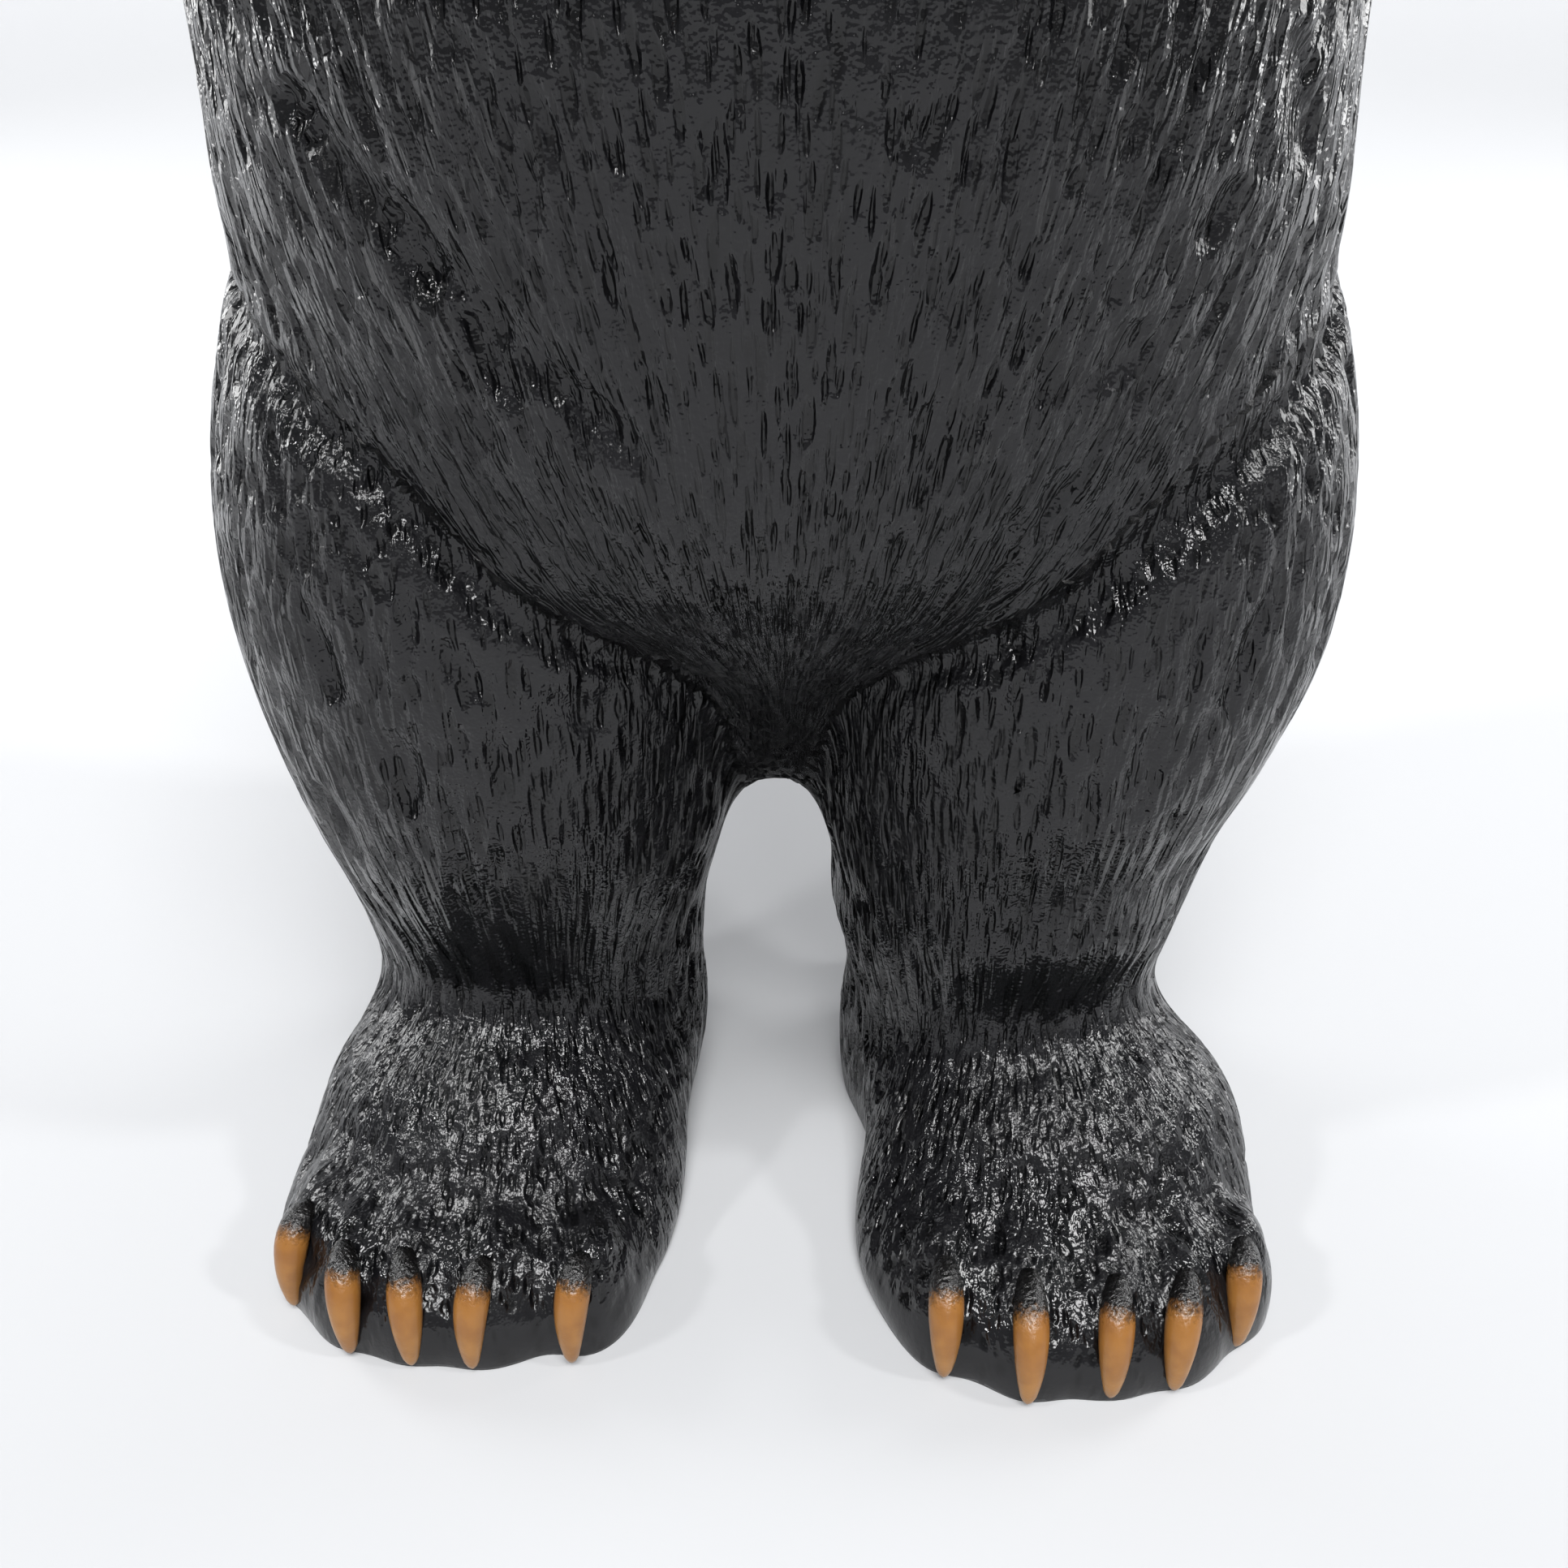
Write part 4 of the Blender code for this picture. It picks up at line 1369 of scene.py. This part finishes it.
@dataclass
class Skin:
    """The carved body of the bear, one closed piece."""

    figure: Figure
    strokes: tuple[KnifeStrokes, ...] = (
        KnifeStrokes(GOUGE_PITCH_MM, GOUGE_LENGTH_MM, GOUGE_HALF_WIDTH_MM, GOUGE_DEPTH_MM,
                     0.62, 3.0),
        KnifeStrokes(STROKE_PITCH_MM, STROKE_LENGTH_MM, STROKE_HALF_WIDTH_MM, STROKE_DEPTH_MM,
                     0.85, 11.0),
    )

    def build(self) -> bpy.types.Object:
        """Sculpt, carve and paint the body.

        Returns:
            The piece.
        """
        piece = bpy.data.objects.new("bear_body", rough_out(self.figure))
        bpy.context.collection.objects.link(piece)
        skin = piece.modifiers.new("skin", "REMESH")
        skin.mode = "VOXEL"
        skin.voxel_size = SKIN_CELL
        relax = piece.modifiers.new("relax", "SMOOTH")
        relax.iterations = 6
        relax.factor = 0.5
        apply_modifiers(piece)
        write_points(piece.data, self.figure.settle(read_points(piece.data), rounds=3))
        self._refine_front(piece)
        write_points(piece.data, self._carve(piece.data))
        self._thin_out(piece)
        self._stand_on_soles(piece)
        self._mark(piece)
        write_points(piece.data, read_points(piece.data) - np.array((0.0, FIGURE_MIDDLE, 0.0)))
        dress(piece, BlackPaint().build())
        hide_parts(NODE)
        return piece

    @staticmethod
    def _shown(points: np.ndarray) -> np.ndarray:
        """Which points lie on the front below the chest, where the cuts are finest.

        Args:
            points: Places on the figure.

        Returns:
            Shares from 0 to 1.
        """
        _, y, z = points.T
        return ramp(-y, -0.075, -0.045) * ramp(-z, -0.54, -0.48)

    def _refine_front(self, piece: bpy.types.Object) -> None:
        """Quarter the faces of the front below the chest.

        Args:
            piece: The body.
        """
        shown = self._shown(read_points(piece.data)) > 0.5
        shape = bmesh.new()
        shape.from_mesh(piece.data)
        shape.verts.ensure_lookup_table()
        edges = [edge for edge in shape.edges
                 if shown[edge.verts[0].index] and shown[edge.verts[1].index]]
        bmesh.ops.subdivide_edges(shape, edges=edges, cuts=1, use_grid_fill=True)
        bmesh.ops.triangulate(shape, faces=shape.faces[:])
        shape.to_mesh(piece.data)
        shape.free()

    def _carve(self, mesh: bpy.types.Mesh) -> np.ndarray:
        """Sink the knife strokes into the skin.

        Args:
            mesh: The smooth body.

        Returns:
            Places of the carved vertices.
        """
        points = read_points(mesh)
        normals = np.empty(len(points) * 3, dtype=np.float32)
        mesh.vertex_normals.foreach_get("vector", normals)
        flow = Flow.over(points, self.figure.region_of(points))
        depth = np.zeros(len(points))
        for strokes in self.strokes:
            depth = depth + strokes.depth_at(flow)
        depth *= self._fur_share(points)
        return points - normals.reshape(-1, 3) * depth[:, None]

    @staticmethod
    def _fur_share(points: np.ndarray) -> np.ndarray:
        """How much fur is carved: none on nose, soles and the fronts of the toes.

        Args:
            points: Places on the figure.

        Returns:
            Shares from 0 to 1.
        """
        _, y, z = points.T
        above_sole = ramp(z, 0.008, 0.020)
        behind_toes = ramp(y, -0.160, -0.135)
        above_toes = ramp(z, 0.022, 0.040)
        share = above_sole * (behind_toes + above_toes * (1.0 - behind_toes))
        snout = ramp(-y, 0.120, 0.150) * ramp(z, 0.72, 0.74)
        ears = ramp(z, 0.868, 0.880)
        return share * (1.0 - snout) * (1.0 - 0.7 * ears)

    def _thin_out(self, piece: bpy.types.Object) -> None:
        """Keep the triangles where the carving turns, most of them on the front.

        Args:
            piece: The body.
        """
        shown = self._shown(read_points(piece.data))
        plain = piece.vertex_groups.new(name="plain")
        for level in range(10):
            share = level / 9.0
            picked = np.flatnonzero(np.round(9.0 * (1.0 - shown)) == level)
            plain.add(picked.tolist(), 0.15 + 0.85 * share, "REPLACE")
        thin = piece.modifiers.new("thin", "DECIMATE")
        thin.ratio = SKIN_TRIANGLES / len(piece.data.polygons)
        thin.vertex_group = plain.name
        thin.vertex_group_factor = 1.0
        apply_modifiers(piece)
        piece.vertex_groups.clear()

    @staticmethod
    def _stand_on_soles(piece: bpy.types.Object) -> None:
        """Cut the feet flat at the ground and close both soles.

        Args:
            piece: The body.
        """
        shape = bmesh.new()
        shape.from_mesh(piece.data)
        whole = shape.verts[:] + shape.edges[:] + shape.faces[:]
        cut = bmesh.ops.bisect_plane(shape, geom=whole, plane_co=(0, 0, 0), plane_no=(0, 0, 1),
                                     clear_inner=True)
        rim = [item for item in cut["geom_cut"] if isinstance(item, bmesh.types.BMEdge)]
        bmesh.ops.holes_fill(shape, edges=rim, sides=0)
        bmesh.ops.triangulate(shape, faces=shape.faces[:])
        bmesh.ops.recalc_face_normals(shape, faces=shape.faces[:])
        shape.to_mesh(piece.data)
        shape.free()

    def _mark(self, piece: bpy.types.Object) -> None:
        """Store the flow of the fur and the painted areas on the mesh.

        Args:
            piece: The body.
        """
        points = read_points(piece.data)
        flow = Flow.over(points, self.figure.region_of(points))
        x, y, z = points.T
        toes = (1.0 - ramp(z, 0.012, 0.028)) * ramp(-y, 0.10, 0.13)
        snout = ramp(-y, 0.098, 0.135) * ramp(z, 0.735, 0.750) * ramp(-z, -0.835, -0.815)
        # the nose itself stays black
        snout *= 1.0 - ramp(-y, 0.168, 0.172) * ramp(z, 0.787, 0.791)
        crotch = np.hypot(np.hypot(x, 0.6 * (y + 0.04)), z - 0.185) / 0.075
        store(piece.data, "fur_ring", "FLOAT_VECTOR", flow.ring)
        store(piece.data, "smooth_front", "FLOAT", toes)
        store(piece.data, "muzzle", "FLOAT", 0.85 * snout)
        store(piece.data, "recess", "FLOAT", np.exp(-crotch ** 2))


@dataclass
class Claws:
    """Twenty almond-shaped claws, cast with the body and painted apart.

    Girth rows give a place along the claw and the share of its full width
    there.  The rings crowd towards the tip.
    """

    girth: tuple[tuple[float, float], ...] = (
        (0.0, 0.55), (0.10, 0.78), (0.25, 0.95), (0.45, 1.0), (0.62, 0.92), (0.78, 0.75),
        (0.90, 0.54), (0.97, 0.34), (1.0, 0.12),
    )
    flatness: float = 0.90
    crowding: float = 1.3

    def build(self) -> bpy.types.Object:
        """Make all claws as one piece.

        Returns:
            The piece.
        """
        shape = bmesh.new()
        along: list[float] = []
        spines = foot_claws(RIGHT_FOOT) + foot_claws(LEFT_FOOT)
        spines += paw_claws(RIGHT) + paw_claws(LEFT)
        for spine in spines:
            along += self._add(shape, spine)
        bmesh.ops.recalc_face_normals(shape, faces=shape.faces[:])
        mesh = bpy.data.meshes.new("bear_claws")
        shape.to_mesh(mesh)
        shape.free()
        store(mesh, "claw_along", "FLOAT", np.array(along))
        piece = bpy.data.objects.new("bear_claws", mesh)
        dress(piece, ClawPaint().build())
        return piece

    def _add(self, shape: bmesh.types.BMesh, spine: Spine) -> list[float]:
        """Add one claw: rings along the curve through root, knuckle and tip.

        Args:
            shape: Mesh to add to.
            spine: Root, knuckle and tip.

        Returns:
            Place along the claw of each new vertex, from 0 at the root.
        """
        root, knuckle, tip = (np.array(point) for point in spine)
        across = np.cross(knuckle - root, tip - knuckle)
        across /= np.linalg.norm(across)
        places, shares = zip(*self.girth)
        rings = []
        along = []
        for step in range(CLAW_RINGS):
            t = 1.0 - (1.0 - step / (CLAW_RINGS - 1)) ** self.crowding
            share = float(smooth_curve(places, shares, np.array([t]))[0])
            centre = (1.0 - t) ** 2 * root + 2.0 * t * (1.0 - t) * knuckle + t * t * tip
            heading = (1.0 - t) * (knuckle - root) + t * (tip - knuckle)
            heading /= np.linalg.norm(heading)
            outward = np.cross(across, heading)
            ring = []
            for side in range(CLAW_SIDES):
                turn = 2.0 * math.pi * side / CLAW_SIDES
                spread = math.cos(turn) * across + self.flatness * math.sin(turn) * outward
                place = centre + 0.5 * CLAW_WIDTH * share * spread
                place[1] -= FIGURE_MIDDLE
                ring.append(shape.verts.new(place))
                along.append(t)
            rings.append(ring)
        for here, after in zip(rings[:-1], rings[1:]):
            for side in range(CLAW_SIDES):
                other = (side + 1) % CLAW_SIDES
                shape.faces.new((here[side], here[other], after[other], after[side]))
        shape.faces.new(rings[0])
        shape.faces.new(rings[-1])
        return along


@dataclass
class Eyes:
    """Both eyes, half sunk into their sockets."""

    def build(self) -> bpy.types.Object:
        """Make both eyes as one piece.

        Returns:
            The piece.
        """
        shape = bmesh.new()
        front = []
        for centre in eyeballs():
            place = np.array(centre) - np.array((0.0, FIGURE_MIDDLE, 0.0))
            ball = bmesh.ops.create_uvsphere(shape, u_segments=24, v_segments=16,
                                             radius=EYE_RADIUS)
            front += [-corner.co.y / EYE_RADIUS for corner in ball["verts"]]
            bmesh.ops.translate(shape, verts=ball["verts"], vec=place)
        mesh = bpy.data.meshes.new("bear_eyes")
        shape.to_mesh(mesh)
        shape.free()
        store(mesh, "eye_front", "FLOAT", np.array(front))
        piece = bpy.data.objects.new("bear_eyes", mesh)
        dress(piece, EyePaint().build())
        return piece


class LampKind(Enum):
    """Kind of soft source."""

    BOX = "AREA"
    PANEL = "SUN"


@dataclass(frozen=True)
class Lamp:
    """One soft source.

    A box has the given width and height in metres.  A panel is far away, and
    its first size is the angle that it fills, in degrees.
    """

    name: str
    kind: LampKind
    place: Point
    size: tuple[float, float]
    power: float
    aim: Point = (0.0, 0.0, 0.3)

    def build(self) -> None:
        """Add the lamp."""
        lamp = bpy.data.lights.new(self.name, self.kind.value)
        if self.kind is LampKind.BOX:
            lamp.shape = "RECTANGLE"
            lamp.size, lamp.size_y = self.size
        else:
            lamp.angle = math.radians(self.size[0])
        lamp.energy = self.power
        holder = bpy.data.objects.new(self.name, lamp)
        bpy.context.collection.objects.link(holder)
        holder.location = self.place
        holder.rotation_euler = facing(self.place, self.aim)


def facing(place: Point, aim: Point) -> tuple[float, float, float]:
    """Rotation of a light or camera that looks from one point to another.

    Args:
        place: Where it stands.
        aim: What it looks at.

    Returns:
        Euler angles in radians.
    """
    run = np.array(aim) - np.array(place)
    flat = math.hypot(run[0], run[1])
    return math.atan2(flat, -run[2]), 0.0, math.atan2(-run[0], run[1])


@dataclass
class Studio:
    """Floor, lights and camera round the statue."""

    eye: Point = (0.0, -0.535 - FIGURE_MIDDLE, 0.450)
    pitch: float = 30.0
    lens: float = 37.27
    floor_half: float = 45.0
    wall_at: float = 7.0
    wall_height: float = 12.0
    cove: float = 1.2
    cove_steps: int = 12
    world: str = "#F2F4F8"
    world_strength: float = 0.30
    lamps: tuple[Lamp, ...] = (
        Lamp("front_top_panel", LampKind.PANEL, (0.15, -1.6, 3.0), (30.0, 0.0), 3.9),
        Lamp("left_top_spot", LampKind.PANEL, (-1.9, -0.9, 2.2), (5.0, 0.0), 0.70),
        Lamp("right_top_spot", LampKind.PANEL, (2.0, -0.7, 2.2), (5.0, 0.0), 0.75),
        Lamp("front_spot", LampKind.PANEL, (0.5, -3.0, 1.9), (4.0, 0.0), 0.12),
        Lamp("left_box", LampKind.BOX, (-2.3, 1.3, 1.1), (0.9, 1.8), 36.0),
        Lamp("right_box", LampKind.BOX, (2.3, 1.1, 1.1), (0.9, 1.8), 38.0),
    )

    def build(self) -> None:
        """Add floor, world, lights and camera."""
        self._floor()
        world = bpy.data.worlds.new("studio")
        world.use_nodes = True
        background = world.node_tree.nodes["Background"]
        background.inputs["Color"].default_value = linear(self.world)
        background.inputs["Strength"].default_value = self.world_strength
        bpy.context.scene.world = world
        for lamp in self.lamps:
            lamp.build()
        camera = bpy.data.cameras.new("camera")
        camera.lens = self.lens
        camera.sensor_width = 36.0
        holder = bpy.data.objects.new("camera", camera)
        bpy.context.collection.objects.link(holder)
        holder.location = self.eye
        holder.rotation_euler = (math.radians(90.0 - self.pitch), 0.0, 0.0)
        bpy.context.scene.camera = holder
        bpy.context.scene.view_settings.view_transform = "Standard"

    def _floor(self) -> None:
        """Add the floor, which curves up into a wall behind the statue."""
        half = self.floor_half
        profile = [(-2.0 * half, 0.0)]
        for step in range(self.cove_steps + 1):
            turn = 0.5 * math.pi * step / self.cove_steps
            profile.append((self.wall_at - self.cove * (1.0 - math.sin(turn)),
                            self.cove * (1.0 - math.cos(turn))))
        profile.append((self.wall_at, self.wall_height))
        points = [(side * half, y, z) for y, z in profile for side in (-1.0, 1.0)]
        faces = [(2 * row, 2 * row + 1, 2 * row + 3, 2 * row + 2)
                 for row in range(len(profile) - 1)]
        mesh = bpy.data.meshes.new("floor")
        mesh.from_pydata(points, [], faces)
        mesh.shade_smooth()
        floor = bpy.data.objects.new("floor", mesh)
        bpy.context.collection.objects.link(floor)
        mesh.materials.append(FloorPaint().build())


def main() -> None:
    """Dress the statue and set up the studio."""
    logging.basicConfig(level=logging.INFO)
    for maker in (Skin(Figure()), Claws(), Eyes()):
        piece = maker.build()
        LOG.info("%s has %d faces", piece.name, len(piece.data.polygons))
    Studio().build()


if __name__ == "__main__":
    main()
